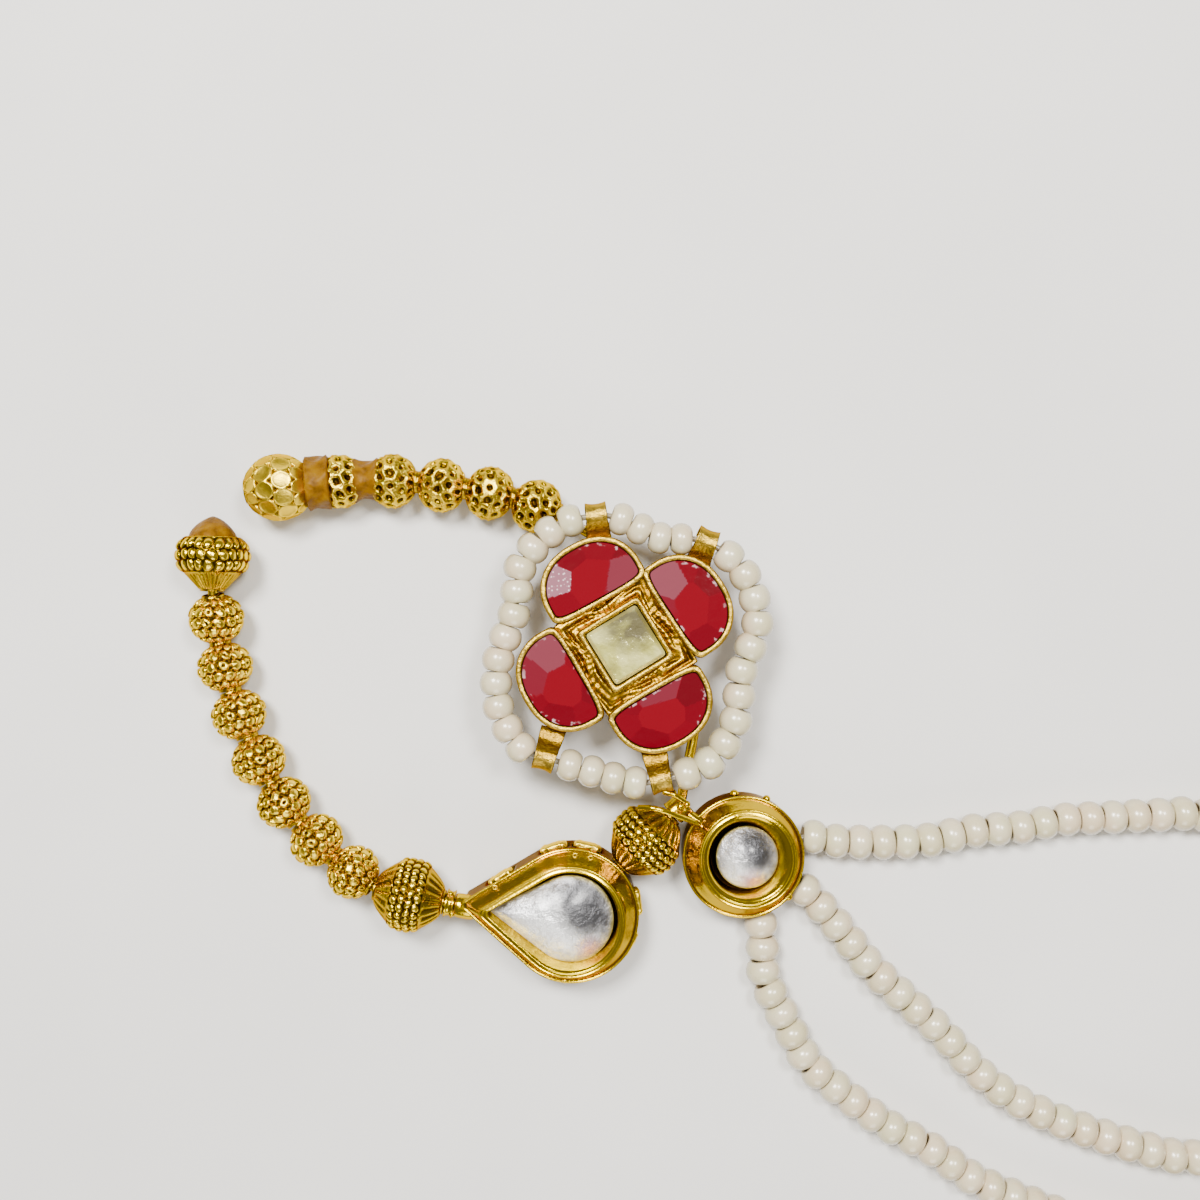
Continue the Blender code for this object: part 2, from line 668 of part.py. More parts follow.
def make_wax():
    """The wax cap on the lower end bead, and the wax between the last beads of the upper arm."""
    _, end = lower_places()
    top = end + CAPPED_BEAD_OUTLINE[0][1] * BELT_BEAD_LENGTH / 2 + WAX_GAP
    start, stop = through(LOWER_WIRE, end, BELT_BEAD_LENGTH)
    heading = (stop - start).normalized()
    place = (start + stop) / 2 + heading * (top - end)
    profile = [(share * WAX_CAP_DIAMETER / 2, height * WAX_CAP_HEIGHT) for share, height in WAX_CAP_OUTLINE]
    turned("wax_cap", turned_mesh("wax_cap", profile, closed=False), BEAD_SIDES, wax("wax_cap"), place, heading)

    small, _ = upper_places()
    half_web = WAX_WEB / 2
    first_middle = small[-1] - SMALL_BEAD_LENGTH / 2 - WAX_GAP - half_web
    second_middle = small[-1] + SMALL_BEAD_LENGTH / 2 + WAX_GAP + half_web
    neck = SMALL_BEAD_OUTLINE[0][0] * SMALL_R + WAX_GAP
    for name, middle, width in (
        ("wax_sleeve", first_middle, WAX_SLEEVE_DIAMETER),
        ("wax_collar", second_middle, WAX_COLLAR_DIAMETER),
    ):
        outer = width / 2
        lip = half_web + (outer - neck) * WAX_LIP_SLOPE
        below = [(outer, -lip), (neck, -half_web), (BORE_R, -half_web)]
        above = [(BORE_R, half_web), (neck, half_web), (outer, lip)]
        mesh = turned_mesh(name, below + above, closed=True)
        turned(name, mesh, BEAD_SIDES, wax(name), UPPER_WIRE.at(middle), UPPER_WIRE.heading(middle))


def setting_rings(outline, sizes, shift):
    """Rings up the outer wall, in over the band and the ridge, and down to the stone's seat."""
    ridge, seat = sizes["ridge_inset"], sizes["seat_inset"]
    return [
        raised(outline(SETTING_FOOT), 0.0),
        raised(outline(0.0), SETTING_FOOT),
        raised(outline(0.0), sizes["rim_height"]),
        raised(outline(ridge), sizes["ridge_height"], shift),
        raised(outline(ridge + RIDGE_WIDTH), sizes["ridge_height"], shift),
        raised(outline(seat), sizes["seat_height"], shift),
    ]


def domed_stone(name, outline, inner, seat_height, height, shift):
    """A low polished dome on a short straight girdle; its outline takes how far it is drawn in."""
    bottom = seat_height + STONE_GAP
    rings = [raised(outline(share * inner), bottom + rise * height, shift) for share, rise in STONE_ROWS]
    return loft(name, rings, clear_glass(name))


def make_teardrop():
    sizes = {
        "ridge_inset": TEARDROP_RIDGE_INSET, "seat_inset": TEARDROP_SEAT_INSET,
        "rim_height": TEARDROP_RIM_HEIGHT, "ridge_height": TEARDROP_RIDGE_HEIGHT,
        "seat_height": TEARDROP_SEAT_HEIGHT,
    }
    setting = loft(
        "teardrop_setting",
        setting_rings(teardrop_outline, sizes, TEARDROP_HEAD_SHIFT),
        bright_gold("teardrop_setting"),
    )
    setting.location = TEARDROP_MIDDLE
    setting.rotation_euler.z = TEARDROP_TURN

    half_collar = TIP_OUTWARD * TIP_COLLAR_LENGTH / 2
    join(setting, rod("tip_collar", [TIP_POINT + half_collar, TIP_POINT - half_collar], TUBE_R))
    tip_bore = [TIP_POINT + half_collar + TIP_OUTWARD * BEAD_GAP, TIP_POINT - TIP_OUTWARD * BORE_DEPTH]
    cut(setting, rod("tip_bore", tip_bore, BORE_R))
    side_bore = [SIDE_POINT + SIDE_OUTWARD * BEAD_GAP, SIDE_POINT - SIDE_OUTWARD * BORE_DEPTH]
    cut(setting, rod("side_bore", side_bore, BORE_R))
    cut_slots(setting)

    spread = TEARDROP_SEAT_INSET + STONE_GAP
    stone = domed_stone(
        "teardrop_stone", lambda drawn_in: teardrop_outline(spread + drawn_in), TEARDROP_RADIUS - spread,
        TEARDROP_SEAT_HEIGHT, TEARDROP_STONE_HEIGHT, TEARDROP_HEAD_SHIFT,
    )
    stone.location = TEARDROP_MIDDLE
    stone.rotation_euler.z = TEARDROP_TURN


def slot_places():
    """(place, turn) of each window of the teardrop's wall: round its round end, and one on each flank."""
    places = []
    for degrees in SLOT_ANGLES:
        angle = math.radians(degrees)
        places.append((Vector((TEARDROP_RADIUS * math.cos(angle), TEARDROP_RADIUS * math.sin(angle), 0.0)), angle))
    slope = math.asin(TEARDROP_RADIUS / TEARDROP_REACH)
    tip = Vector((-TEARDROP_REACH, 0.0, 0.0))
    for side in (-1, 1):
        normal = side * (math.pi / 2 + slope)
        touch = Vector((TEARDROP_RADIUS * math.cos(normal), TEARDROP_RADIUS * math.sin(normal), 0.0))
        places.append(((touch + tip) / 2, normal))
    return places


def cut_slots(setting):
    """Shallow windows round the outer wall, clear of the two bores."""
    place = Matrix.Translation(TEARDROP_MIDDLE) @ Matrix.Rotation(TEARDROP_TURN, 4, "Z")
    middle_height = Vector((0.0, 0.0, TEARDROP_RIM_HEIGHT / 2))
    size = (2 * SLOT_DEPTH, SLOT_LENGTH, SLOT_HEIGHT)
    for number, (local, turn) in enumerate(slot_places(), start=1):
        cut(setting, block(f"slot_{number}", place @ (local + middle_height), size, TEARDROP_TURN + turn))


def strand_bore(route):
    """Where a strand leaves the round setting's wall, and the direction it leaves in."""
    first = Vector((route[0][0] * MM, route[0][1] * MM, 0.0))
    outward = (first - ROUND_MIDDLE).normalized()
    wall = ROUND_MIDDLE + outward * ROUND_RADIUS
    wall.z = STRAND_HEIGHT
    return wall, outward


def make_round():
    sizes = {
        "ridge_inset": ROUND_RIDGE_INSET, "seat_inset": ROUND_SEAT_INSET,
        "rim_height": ROUND_RIM_HEIGHT, "ridge_height": ROUND_RIDGE_HEIGHT,
        "seat_height": ROUND_SEAT_HEIGHT,
    }

    def outline(inset):
        return round_outline(ROUND_RADIUS - inset)

    setting = loft("round_setting", setting_rings(outline, sizes, ROUND_HEAD_SHIFT), bright_gold("round_setting"))
    setting.location = ROUND_MIDDLE

    lug = lug_place()
    heading = UPPER_WIRE.heading(lug)
    middle = UPPER_WIRE.at(lug)
    towards = middle - ROUND_MIDDLE
    towards.z = 0.0
    root = ROUND_MIDDLE + towards.normalized() * (ROUND_RADIUS - TUBE_WALL)
    root.z = ROUND_RIM_HEIGHT - LUG_ARM_DIAMETER
    join(setting, rod("lug_arm", [root, middle], LUG_ARM_DIAMETER / 2))
    half = heading * LUG_LENGTH / 2
    join(setting, rod("lug_tube", [middle - half, middle + half], TUBE_R))
    cut(setting, rod("lug_bore", [middle - half * 1.5, middle + half * 1.5], BORE_R))
    for name, route in STRAND_ROUTES.items():
        wall, outward = strand_bore(route)
        cut(setting, rod(f"{name}_strand_bore", [wall + outward * BEAD_GAP, wall - outward * BORE_DEPTH], STRAND_BORE_R))

    inner = ROUND_RADIUS - ROUND_SEAT_INSET - STONE_GAP
    stone = domed_stone(
        "round_stone", lambda drawn_in: round_outline(inner - drawn_in), inner,
        ROUND_SEAT_HEIGHT, ROUND_STONE_HEIGHT, ROUND_HEAD_SHIFT,
    )
    stone.location = ROUND_MIDDLE


def lug_place():
    """Length along the upper wire of the round setting's lug, just past the belted bead."""
    return UPPER_BELT + BELT_BEAD_LENGTH / 2 + 2 * BEAD_GAP + LUG_LENGTH / 2


def bail_places():
    return [PEARL_RING.knots[i] for i in PEARL_RING_BAILS]


def make_flower():
    """The flower's frame with its back tubes and bails, and its five stones."""
    frame = plate("flower_frame", square_outline(SQUARE_SIDE), 0.0, FLOWER_DEPTH, NATH)
    frame.data.materials.append(antique_gold("flower_frame"))
    place = Matrix.Translation((*FLOWER_CENTRE, FLOWER_BACK)) @ Matrix.Rotation(FLOWER_TURN, 4, "Z")
    frame.matrix_world = place @ frame.matrix_world

    def shaping_plate(name, outline, bottom, top, turn=0.0):
        made = plate(name, outline, bottom, top)
        made.matrix_world = place @ Matrix.Rotation(turn, 4, "Z") @ made.matrix_world
        return made

    turns = [math.pi / 2 * k for k in range(4)]
    rim = FLOWER_DEPTH - 0.0001
    for number, turn in enumerate(turns, start=1):
        join(frame, shaping_plate(f"petal_{number}", petal_outline(0.0), 0.00005, rim, turn))
    above = FLOWER_DEPTH + BEZEL_RISE + 0.001
    for number, turn in enumerate(turns, start=1):
        cut(frame, shaping_plate(f"petal_pocket_{number}", petal_outline(PETAL_WALL), BACK_PLATE, above, turn))
    channel_side = SQUARE_SIDE - 2 * PETAL_WALL
    cut(frame, shaping_plate("channel", square_outline(channel_side), FLOWER_DEPTH - CHANNEL_DEPTH, above))
    bezel_top = FLOWER_DEPTH + BEZEL_RISE
    join(frame, shaping_plate("bezel", square_outline(BEZEL_SIDE), BACK_PLATE / 2, bezel_top))
    seat_side = BEZEL_SIDE - 2 * BEZEL_WALL
    seat = FLOWER_DEPTH - CHANNEL_DEPTH
    cut(frame, shaping_plate("bezel_seat", square_outline(seat_side), seat, above))
    add_back_tubes(frame)
    add_bails(frame)

    half = seat_side / 2 - STONE_GAP
    table = half * CENTRE_CUT_TABLE
    girdle = place_rings(place, half, table, seat + STONE_GAP, bezel_top - 0.0002)
    cut_stone("centre_stone", girdle, yellow_glass("centre_stone"))
    for number, turn in enumerate(turns, start=1):
        spot = place @ Matrix.Rotation(turn, 4, "Z")
        cut_stone(f"petal_stone_{number}", petal_stone_rings(spot), red_glass(f"petal_stone_{number}"))


def place_rings(place, half, table, bottom, top):
    """A square stone's girdle, and a table turned an eighth so that the crown is triangles."""
    girdle = [(-half, -half), (half, -half), (half, half), (-half, half)]
    level = [(0.0, -table), (table, 0.0), (0.0, table), (-table, 0.0)]
    heights = (bottom, bottom + (top - bottom) * 0.4, top)
    outlines = (girdle, girdle, level)
    return [[place @ Vector((x, y, z)) for x, y in outline] for outline, z in zip(outlines, heights)]


def petal_stone_rings(place):
    """A rose-cut petal stone: straight girdle, sloping facets and a flat table."""
    outline = petal_outline(PETAL_WALL + STONE_GAP)
    middle = SQUARE_SIDE / 2 - PETAL_WALL / 2 + PETAL_ROUNDING + PETAL_REACH * 0.12
    table = [
        (middle + (x - middle) * PETAL_CUT_TABLE, y * PETAL_CUT_TABLE)
        for x, y in petal_outline(PETAL_WALL + STONE_GAP, steps=6)
    ]
    bottom = BACK_PLATE + STONE_GAP
    girdle = bottom + (FLOWER_DEPTH - bottom) * 0.5
    top = FLOWER_DEPTH - 0.0001
    rings = ((outline, bottom), (outline, girdle), (table, top))
    return [[place @ Vector((x, y, z)) for x, y in ring] for ring, z in rings]


def add_back_tubes(frame):
    """Two short tubes soldered under the flower, which the upper wire runs through."""
    for number, along in enumerate(BACK_TUBE_PLACES, start=1):
        middle, heading = UPPER_WIRE.at(along), UPPER_WIRE.heading(along)
        half = heading * BACK_TUBE_LENGTH / 2
        join(frame, tube(f"back_tube_{number}", middle - half, middle + half, TUBE_R, BORE_R))


def add_bails(frame):
    """Four short tubes for the pearls' thread, each on a strap from the back plate."""
    thread_bore = RING_THREAD_DIAMETER / 2 + BORE_GAP
    for number, along in enumerate(bail_places(), start=1):
        middle, heading = PEARL_RING.at(along), PEARL_RING.heading(along)
        half = heading * BAIL_LENGTH / 2
        inward = FLOWER_MIDDLE - middle
        inward.z = 0.0
        inward.normalize()
        reach = BAIL_DIAMETER + PETAL_WALL + 0.0012
        strap = middle + inward * reach / 2
        strap.z = FLOWER_BACK + BACK_PLATE / 2
        turn = math.atan2(inward.y, inward.x)
        join(frame, block(f"bail_strap_{number}", strap, (reach, BAIL_BRIDGE_WIDTH, BACK_PLATE * 0.7), turn))
        join(frame, tube(f"bail_{number}", middle - half, middle + half, BAIL_DIAMETER / 2, thread_bore))


def pearl_profile(middle, length, radius):
    """(place along the string, radius) of one pearl: its neck and its two shoulders."""
    return [
        (middle - length / 2, radius * 0.55),
        (middle - length * 0.22, radius),
        (middle + length * 0.22, radius),
    ]


def make_pearl_ring():
    """The closed string of pearls round the flower, bare where it runs through a bail."""
    bails = bail_places()
    thread = RING_THREAD_DIAMETER / 2
    clear = BAIL_LENGTH / 2 + BEAD_GAP
    rows = []
    for index, count in enumerate(PEARLS_BETWEEN_BAILS):
        start = bails[index] + clear
        end = (bails[index + 1] if index + 1 < len(bails) else bails[0] + PEARL_RING.length) - clear
        pitch = (end - start) / count
        rows.append((start - 0.00005, thread))
        for k in range(count):
            rows += pearl_profile(start + pitch * (k + 0.5), pitch, RING_PEARL_DIAMETER / 2)
        rows += [(end, RING_PEARL_DIAMETER / 2 * 0.55), (end + 0.00005, thread)]
    points = [PEARL_RING.at(along % PEARL_RING.length) for along, _ in rows]
    radii = [radius for _, radius in rows]
    string_curve("pearl_ring", points, radii, pearl("pearl_ring"), PEARL_SIDES, closed=True)


def bar_bore(row):
    """The mouth of one of the hair hook's bores."""
    return Vector((BAR_CENTRE[0] - BAR_WIDTH / 2, BAR_CENTRE[1] + row * STRAND_SPACING, STRAND_HEIGHT))


def make_strands():
    """Three pearl strands from the round setting to the hair hook, their threads' ends in bores."""
    thread = STRAND_THREAD_DIAMETER / 2
    pearl_radius = STRAND_PEARL_DIAMETER / 2
    for name, listed in STRAND_ROUTES.items():
        wall, outward = strand_bore(listed)
        mouth = bar_bore(STRAND_ROWS[name])
        inside = Vector((THREAD_END, 0.0, 0.0))
        run_in = [mouth - Vector((share * STRAND_PEARL_LENGTH, 0.0, 0.0)) for share in (2.4, 1.0)]
        knots = [wall - outward * THREAD_END, wall, *lifted(listed, STRAND_HEIGHT), *run_in, mouth, mouth + inside]
        route = Route(knots)
        start = THREAD_END + BEAD_GAP
        room = route.length - THREAD_END - BEAD_GAP - start
        count = int(room / STRAND_PEARL_LENGTH)
        pitch = room / count
        rows = [(0.0, thread), (start - 0.00005, thread)]
        for k in range(count):
            rows += pearl_profile(start + pitch * (k + 0.5), pitch, pearl_radius)
        rows += [(start + room, pearl_radius * 0.55), (start + room + 0.00005, thread), (route.length, thread)]
        points = [route.at(along) for along, _ in rows]
        node = f"pearl_strand_{name}"
        string_curve(node, points, [radius for _, radius in rows], pearl(node), PEARL_SIDES)


def make_hair_hook():
    """A bar with a bore for each strand, and a plain bent hook soldered to it."""
    hook = block("hair_hook", (*BAR_CENTRE, STRAND_HEIGHT), (BAR_WIDTH, BAR_LENGTH, STRAND_PEARL_DIAMETER - 0.0002))
    SHAPING.objects.unlink(hook)
    NATH.objects.link(hook)
    hook.data.materials.append(bright_gold("hair_hook"))
    edge = hook.modifiers.new("rounded_edges", "BEVEL")
    edge.width = 0.0004
    edge.segments = 1
    start = Vector((*BAR_CENTRE, STRAND_HEIGHT))
    shank = start + Vector((BAR_WIDTH / 2 + HOOK_SHANK, 0.0, 0.0))
    bend = shank + Vector((0.0, HOOK_BEND_RADIUS, 0.0))
    points = [start, start + (shank - start) * 0.5]
    steps = 10
    for i in range(steps + 1):
        angle = -math.pi / 2 + math.pi * i / steps
        points.append(bend + Vector((math.cos(angle), math.sin(angle), 0.0)) * HOOK_BEND_RADIUS)
    points.append(points[-1] - Vector((HOOK_SHANK * 0.45, 0.0, 0.0)))
    join(hook, rod("hook_wire", points, HOOK_WIRE_DIAMETER / 2))
    for name, row in STRAND_ROWS.items():
        mouth = bar_bore(row)
        inward = Vector((1.0, 0.0, 0.0))
        cut(hook, rod(f"{name}_bar_bore", [mouth - inward * BEAD_GAP, mouth + inward * BORE_DEPTH], STRAND_BORE_R))


make_ring_wires()
make_beads()
make_wax()
make_teardrop()
make_round()
make_flower()
make_pearl_ring()
make_strands()
make_hair_hook()
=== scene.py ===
"""Looks for a bridal nath lying flat: openwork gold beads, a teardrop and a round setting, a flower
pendant with red stones, and pearls. Metres, +Z up; each piece's place is in its mesh."""

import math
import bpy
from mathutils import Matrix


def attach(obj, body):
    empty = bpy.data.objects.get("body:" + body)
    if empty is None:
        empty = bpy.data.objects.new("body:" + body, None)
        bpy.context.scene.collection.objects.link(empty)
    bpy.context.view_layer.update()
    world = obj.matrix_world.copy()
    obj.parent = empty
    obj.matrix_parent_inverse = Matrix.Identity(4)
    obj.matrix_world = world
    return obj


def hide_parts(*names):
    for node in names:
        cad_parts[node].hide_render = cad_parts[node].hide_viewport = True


bl_info = {
    "name": "Bridal Nath",
    "version": (1, 0, 0),
    "blender": (4, 5, 0),
    "location": "3D View > Sidebar > Nath",
    "description": "Builds the beads, settings, flower and pearls of a bridal nath",
    "category": "Add Mesh",
}

import bmesh
import bpy
import numpy as np
from bpy.props import FloatProperty, FloatVectorProperty, PointerProperty
from bpy.types import Operator, Panel, PropertyGroup
from mathutils import Vector

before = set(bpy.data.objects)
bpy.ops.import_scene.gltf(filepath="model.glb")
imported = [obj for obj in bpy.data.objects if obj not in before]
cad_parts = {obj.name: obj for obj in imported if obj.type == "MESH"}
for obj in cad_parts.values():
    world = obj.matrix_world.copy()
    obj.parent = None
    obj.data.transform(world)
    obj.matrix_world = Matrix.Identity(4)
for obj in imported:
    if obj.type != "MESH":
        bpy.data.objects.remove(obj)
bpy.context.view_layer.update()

MM = 0.001
TAU = 2 * math.pi
UP = np.array([0.0, 0.0, 1.0])

# Places and sizes shared with the solids, in metres unless the name says millimetres
TEARDROP_CENTRE = (0.00197, 0.00030)
TEARDROP_TURN = math.radians(-5.7)
TEARDROP_HEAD_SHIFT = (-0.0001, -0.0003)
TEARDROP_RADIUS = 0.00575
TEARDROP_REACH = 0.0095  # from the middle of the round end to the tip
TEARDROP_RIM = 0.0046
TEARDROP_RIDGE = 0.0057
ROUND_CENTRE = (0.01697, 0.00515)
ROUND_HEAD_SHIFT = (0.0003, 0.0)
ROUND_RADIUS = 0.00525
ROUND_RIM = 0.0035
ROUND_RIDGE = 0.0046
RIDGE_INSET = 0.00095
FLOWER_CENTRE = (0.00662, 0.02380)
FLOWER_TURN = math.radians(31.6)
FLOWER_BACK = 0.0043
FLOWER_DEPTH = 0.0022
SQUARE_SIDE = 0.00915
PETAL_WALL = 0.0005
PETAL_REACH = 0.0053
PETAL_CHORD = 0.0091
PETAL_ROUNDING = 0.0015  # from a petal's straight side to its widest line
RING_PEARL_HEIGHT = 0.0056
STRAND_HEIGHT = 0.001525
PEARL_LENGTH = 0.00203
THREAD_END = 0.0009  # how deep a thread's end sits in its bore
BEAD_GAP = 0.0003
THREAD_RADIUS = 0.00026
BAIL_LENGTH = 0.0019
PEARL_RING_MM = [
    (-2.5, 11.0), (-5.8, 10.1), (-8.9, 6.9), (-9.5, 2.8), (-10.9, -1.2), (-10.9, -5.3), (-9.0, -8.8),
    (-6.9, -9.7), (-2.8, -10.9), (0.5, -11.8), (3.0, -11.6), (7.1, -10.2), (9.4, -6.6), (9.9, -2.4),
    (11.3, 1.8), (10.2, 6.0), (6.9, 8.8), (3.0, 9.1), (-0.3, 10.7),
]
BAIL_POINTS = (0, 7, 10, 16)
PEARLS_BETWEEN_BAILS = (12, 4, 11, 4)
STRANDS_MM = {
    "top": [
        (23.2, 6.6), (25.5, 6.2), (29.8, 6.1), (33.7, 6.3), (37.5, 7.1), (41.6, 7.4), (45.4, 8.1),
        (49.4, 8.3), (53.6, 8.5), (58.0, 8.5), (63.8, 6.6), (68.4, 2.6), (71.6, -2.0),
    ],
    "middle": [
        (22.7, 1.8), (25.5, -1.3), (28.4, -4.9), (31.4, -7.7), (34.6, -10.6), (37.5, -13.8),
        (40.4, -16.2), (44.2, -18.2), (48.2, -19.7), (52.4, -21.0), (56.6, -21.9), (61.2, -21.2),
        (65.2, -17.8), (68.4, -12.8),
    ],
    "lower": [
        (18.8, -1.6), (18.9, -3.8), (19.1, -6.1), (20.9, -9.7), (23.0, -13.5), (26.3, -16.4),
        (29.9, -19.0), (33.9, -21.2), (37.6, -23.8), (41.7, -25.6), (48.0, -27.9), (54.4, -29.0),
        (60.6, -28.5), (66.6, -25.4), (70.8, -20.0),
    ],
}
STRAND_ROWS = {"top": 1, "middle": 0, "lower": -1}
BAR_CENTRE = (0.0790, -0.0090)
BAR_WIDTH = 0.0024
STRAND_SPACING = 0.0038
SLOT_DEGREES = (-100, -62, -24, 14, 82, 112)
CAMERA_PLACE = (0.00443, 0.0276, 0.115)
CAMERA_LENS = 38.33

BORE = 0.00060
COLLAR = 0.00020  # how far a bead's collar stands out past its end
KNOB = 0.00016  # height of the knobs between the pits
BELT_RADIUS = 0.00300
FACETED_RADIUS = 0.00290
CAPPED_HALF = 0.00295  # half the length that the capped bead would have without its cap

# The cut of each petal, anticlockwise from the upper right one: each facet's angle from the outward
# side in degrees, its distance from the middle in millimetres, and its tone from dark to pale, painted
# light for how lit the facet looks
PETAL_FACETS = (
    (
        (108, 1.15, 0.82), (152, 1.25, 0.64), (62, 1.7, 0.34), (14, 1.5, 0.26), (-38, 1.6, 0.36),
        (-95, 2.2, 0.30), (190, 1.7, 0.44),
    ),
    (
        (58, 1.55, 1.0), (100, 1.9, 0.36), (12, 1.5, 0.28), (-32, 1.7, 0.33), (-80, 2.4, 0.24),
        (-126, 1.5, 0.78), (168, 1.8, 0.36),
    ),
    (
        (-92, 1.2, 0.80), (-44, 1.15, 0.70), (4, 1.7, 0.33), (50, 1.8, 0.28), (98, 2.3, 0.33),
        (150, 1.9, 0.26), (205, 1.6, 0.36),
    ),
    (
        (166, 0.75, 0.76), (104, 1.5, 0.22), (60, 1.8, 0.32), (8, 1.8, 0.36), (-45, 1.8, 0.28),
        (-100, 2.2, 0.34), (-150, 1.7, 0.30),
    ),
)
FACET_SLOPE = 0.07
# painted light of each petal's table
TABLE_TONE = 0.42
# Each petal's own turn in degrees and shift towards the middle, as it was set by hand
PETAL_SETTING = ((1.6, 0.00004), (-2.6, 0.00018), (-1.6, 0.0), (-1.6, 0.00006))

BAND_EDGE = (0.34, 0.20, 0.02)  # the tint of the settings' gold seen at a low angle
FOIL_EDGE = (0.6, 0.38, 0.1)
TEARDROP_AMBER_REFLECTION = ((0.0003, 0.0051, 0.0050), 0.0018)  # place and reach of the painted amber reflection on the band
ROUND_AMBER_REFLECTION = ((0.0128, 0.0048, 0.0040), 0.0011)
# Places and reaches of the painted white reflection and the painted dark shade in a clear stone, and
# the place of the pink
TEARDROP_LIGHT_SHADE_AND_PINK = (
    (0.0000, -0.0018, 0.0052), 0.0050, (0.0030, 0.0016, 0.0056), 0.0034, (0.0036, -0.0026, 0.0052)
)
ROUND_LIGHT_SHADE_AND_PINK = ((0.0164, 0.0038, 0.0044), 0.0024, (0.0180, 0.0060, 0.0046), 0.0023, (0.0176, 0.0030, 0.0043))

# The two bright wire ends by the lowest bail, and the balls of solder between them
LONG_WIRE_END = [
    (0.0077, 0.0099, 0.0060), (0.0091, 0.0099, 0.0066), (0.0108, 0.0093, 0.0062),
    (0.0125, 0.0085, 0.0050), (0.0132, 0.0080, 0.0042),
]
SHORT_WIRE_END = [(0.0098, 0.0112, 0.0056), (0.0108, 0.0109, 0.0057), (0.0117, 0.0103, 0.0053)]
SOLDER_BALLS = ((0.0107, 0.0110, 0.0052), (0.0119, 0.0100, 0.0050), (0.0113, 0.0099, 0.0055))
ROUND_NUBS = (
    ((0.01624, 0.01055, 0.0026), 0.00038), ((0.01908, 0.01010, 0.0026), 0.00034),
    ((0.02190, 0.00592, 0.0028), 0.00036), ((0.02095, 0.00160, 0.0029), 0.00036),
    ((0.01877, 0.00015, 0.0027), 0.00030),
)
TEARDROP_RINGS = ((0.00228, 0.00560, 0.00500), (0.00362, 0.00539, 0.00496), (-0.00462, 0.00285, 0.00500))

LIGHTS = (  # name, place, side, watts and colour
    ("key", (-0.09, 0.17, 0.34), 0.10, 2.7, (1.0, 0.98, 0.94)),
    ("fill", (0.12, 0.13, 0.34), 0.08, 1.25, (1.0, 0.98, 0.95)),
    ("top", (0.01, 0.03, 0.42), 0.24, 0.22, (1.0, 0.96, 0.90)),
    ("low", (0.02, -0.34, 0.20), 0.20, 0.7, (1.0, 0.97, 0.92)),
)
LIGHT_TARGET = (0.01, 0.015, 0.0)
WORLD_COLOUR = (0.54, 0.51, 0.47, 1.0)
WORLD_STRENGTH = 0.42
FLOOR_REACH = 0.9
FLOOR_HEIGHT = -0.00005


def length(name, description, default):
    return FloatProperty(name=name, description=description, default=default, subtype="DISTANCE")


def colour(name, description, default):
    return FloatVectorProperty(
        name=name, description=description, default=default, subtype="COLOR", min=0, max=1
    )


class NathSizes(PropertyGroup):
    pearl_diameter: length("Strand pearl", "Width of a pearl of the strands", 0.00305)
    pearl_length: length("Pearl length", "Length of a pearl along its thread", PEARL_LENGTH)
    ring_pearl_diameter: length("Ring pearl", "Width of a pearl round the flower", 0.00285)
    pearl_hole: length("Pearl hole", "Width of the hole through a pearl", 0.0007)
    small_bead: length("Small bead", "Width of a small gold bead", 0.0049)
    openwork_depth: length("Openwork", "Depth of the pits in the small beads", 0.00034)
    granule_height: length("Granules", "Height of the granules on a belted bead", 0.00030)


class NathColours(PropertyGroup):
    bright_gold: colour("Bright gold", "Polished raised gold", (0.76, 0.53, 0.0))
    # deep_gold and pit_shade_gold are painted shade: gold in hollows and at the bottom of pits; deep_gold
    # also colours gold's soft patches
    deep_gold: colour("Deep gold", "Gold in hollows", (0.43, 0.275, 0.0))
    pit_shade_gold: colour("Dark gold", "Gold at the bottom of a pit", (0.05, 0.024, 0.0))
    antique_gold: colour("Antique gold", "Satin gold of the flower", (0.52, 0.35, 0.045))
    wax: colour("Wax", "Amber wax", (0.17, 0.072, 0.0))
    pearl: colour("Pearl", "Cream white of the pearls", (0.68, 0.60, 0.40))
    ruby: colour("Red stone", "Deep red of the petals", (0.15, 0.0, 0.006))
    lemon: colour("Centre stone", "Pale yellow-green stone", (0.46, 0.44, 0.09))
    foil: colour("Stone foil", "Silvery foil behind the clear stones", (0.62, 0.62, 0.66))


# Meshes


def grid_faces(copies, rows, columns, close_rows=False, close_columns=True):
    """Four-sided faces of a grid: each joins a row to the next and a column to the next, the last
    to the first where closed. Copies of the grid follow each other."""
    row = np.arange(rows if close_rows else rows - 1)[:, None]
    column = np.arange(columns if close_columns else columns - 1)[None, :]
    next_row, next_column = (row + 1) % rows, (column + 1) % columns
    here, below = row * columns, next_row * columns
    corners = (here + column, here + next_column, below + next_column, below + column)
    faces = np.stack(np.broadcast_arrays(*corners), -1).reshape(-1, 4)
    return (faces[None] + (np.arange(copies) * rows * columns)[:, None, None]).reshape(-1, 4)


def place_piece(name, mesh, material, replaced):
    """Makes the mesh an object that rides on the jewel and stands in for the replaced nodes."""
    mesh.materials.append(material)
    obj = bpy.data.objects.new(name, mesh)
    bpy.context.scene.collection.objects.link(obj)
    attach(obj, "root")
    if replaced:
        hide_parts(*replaced)
    return obj


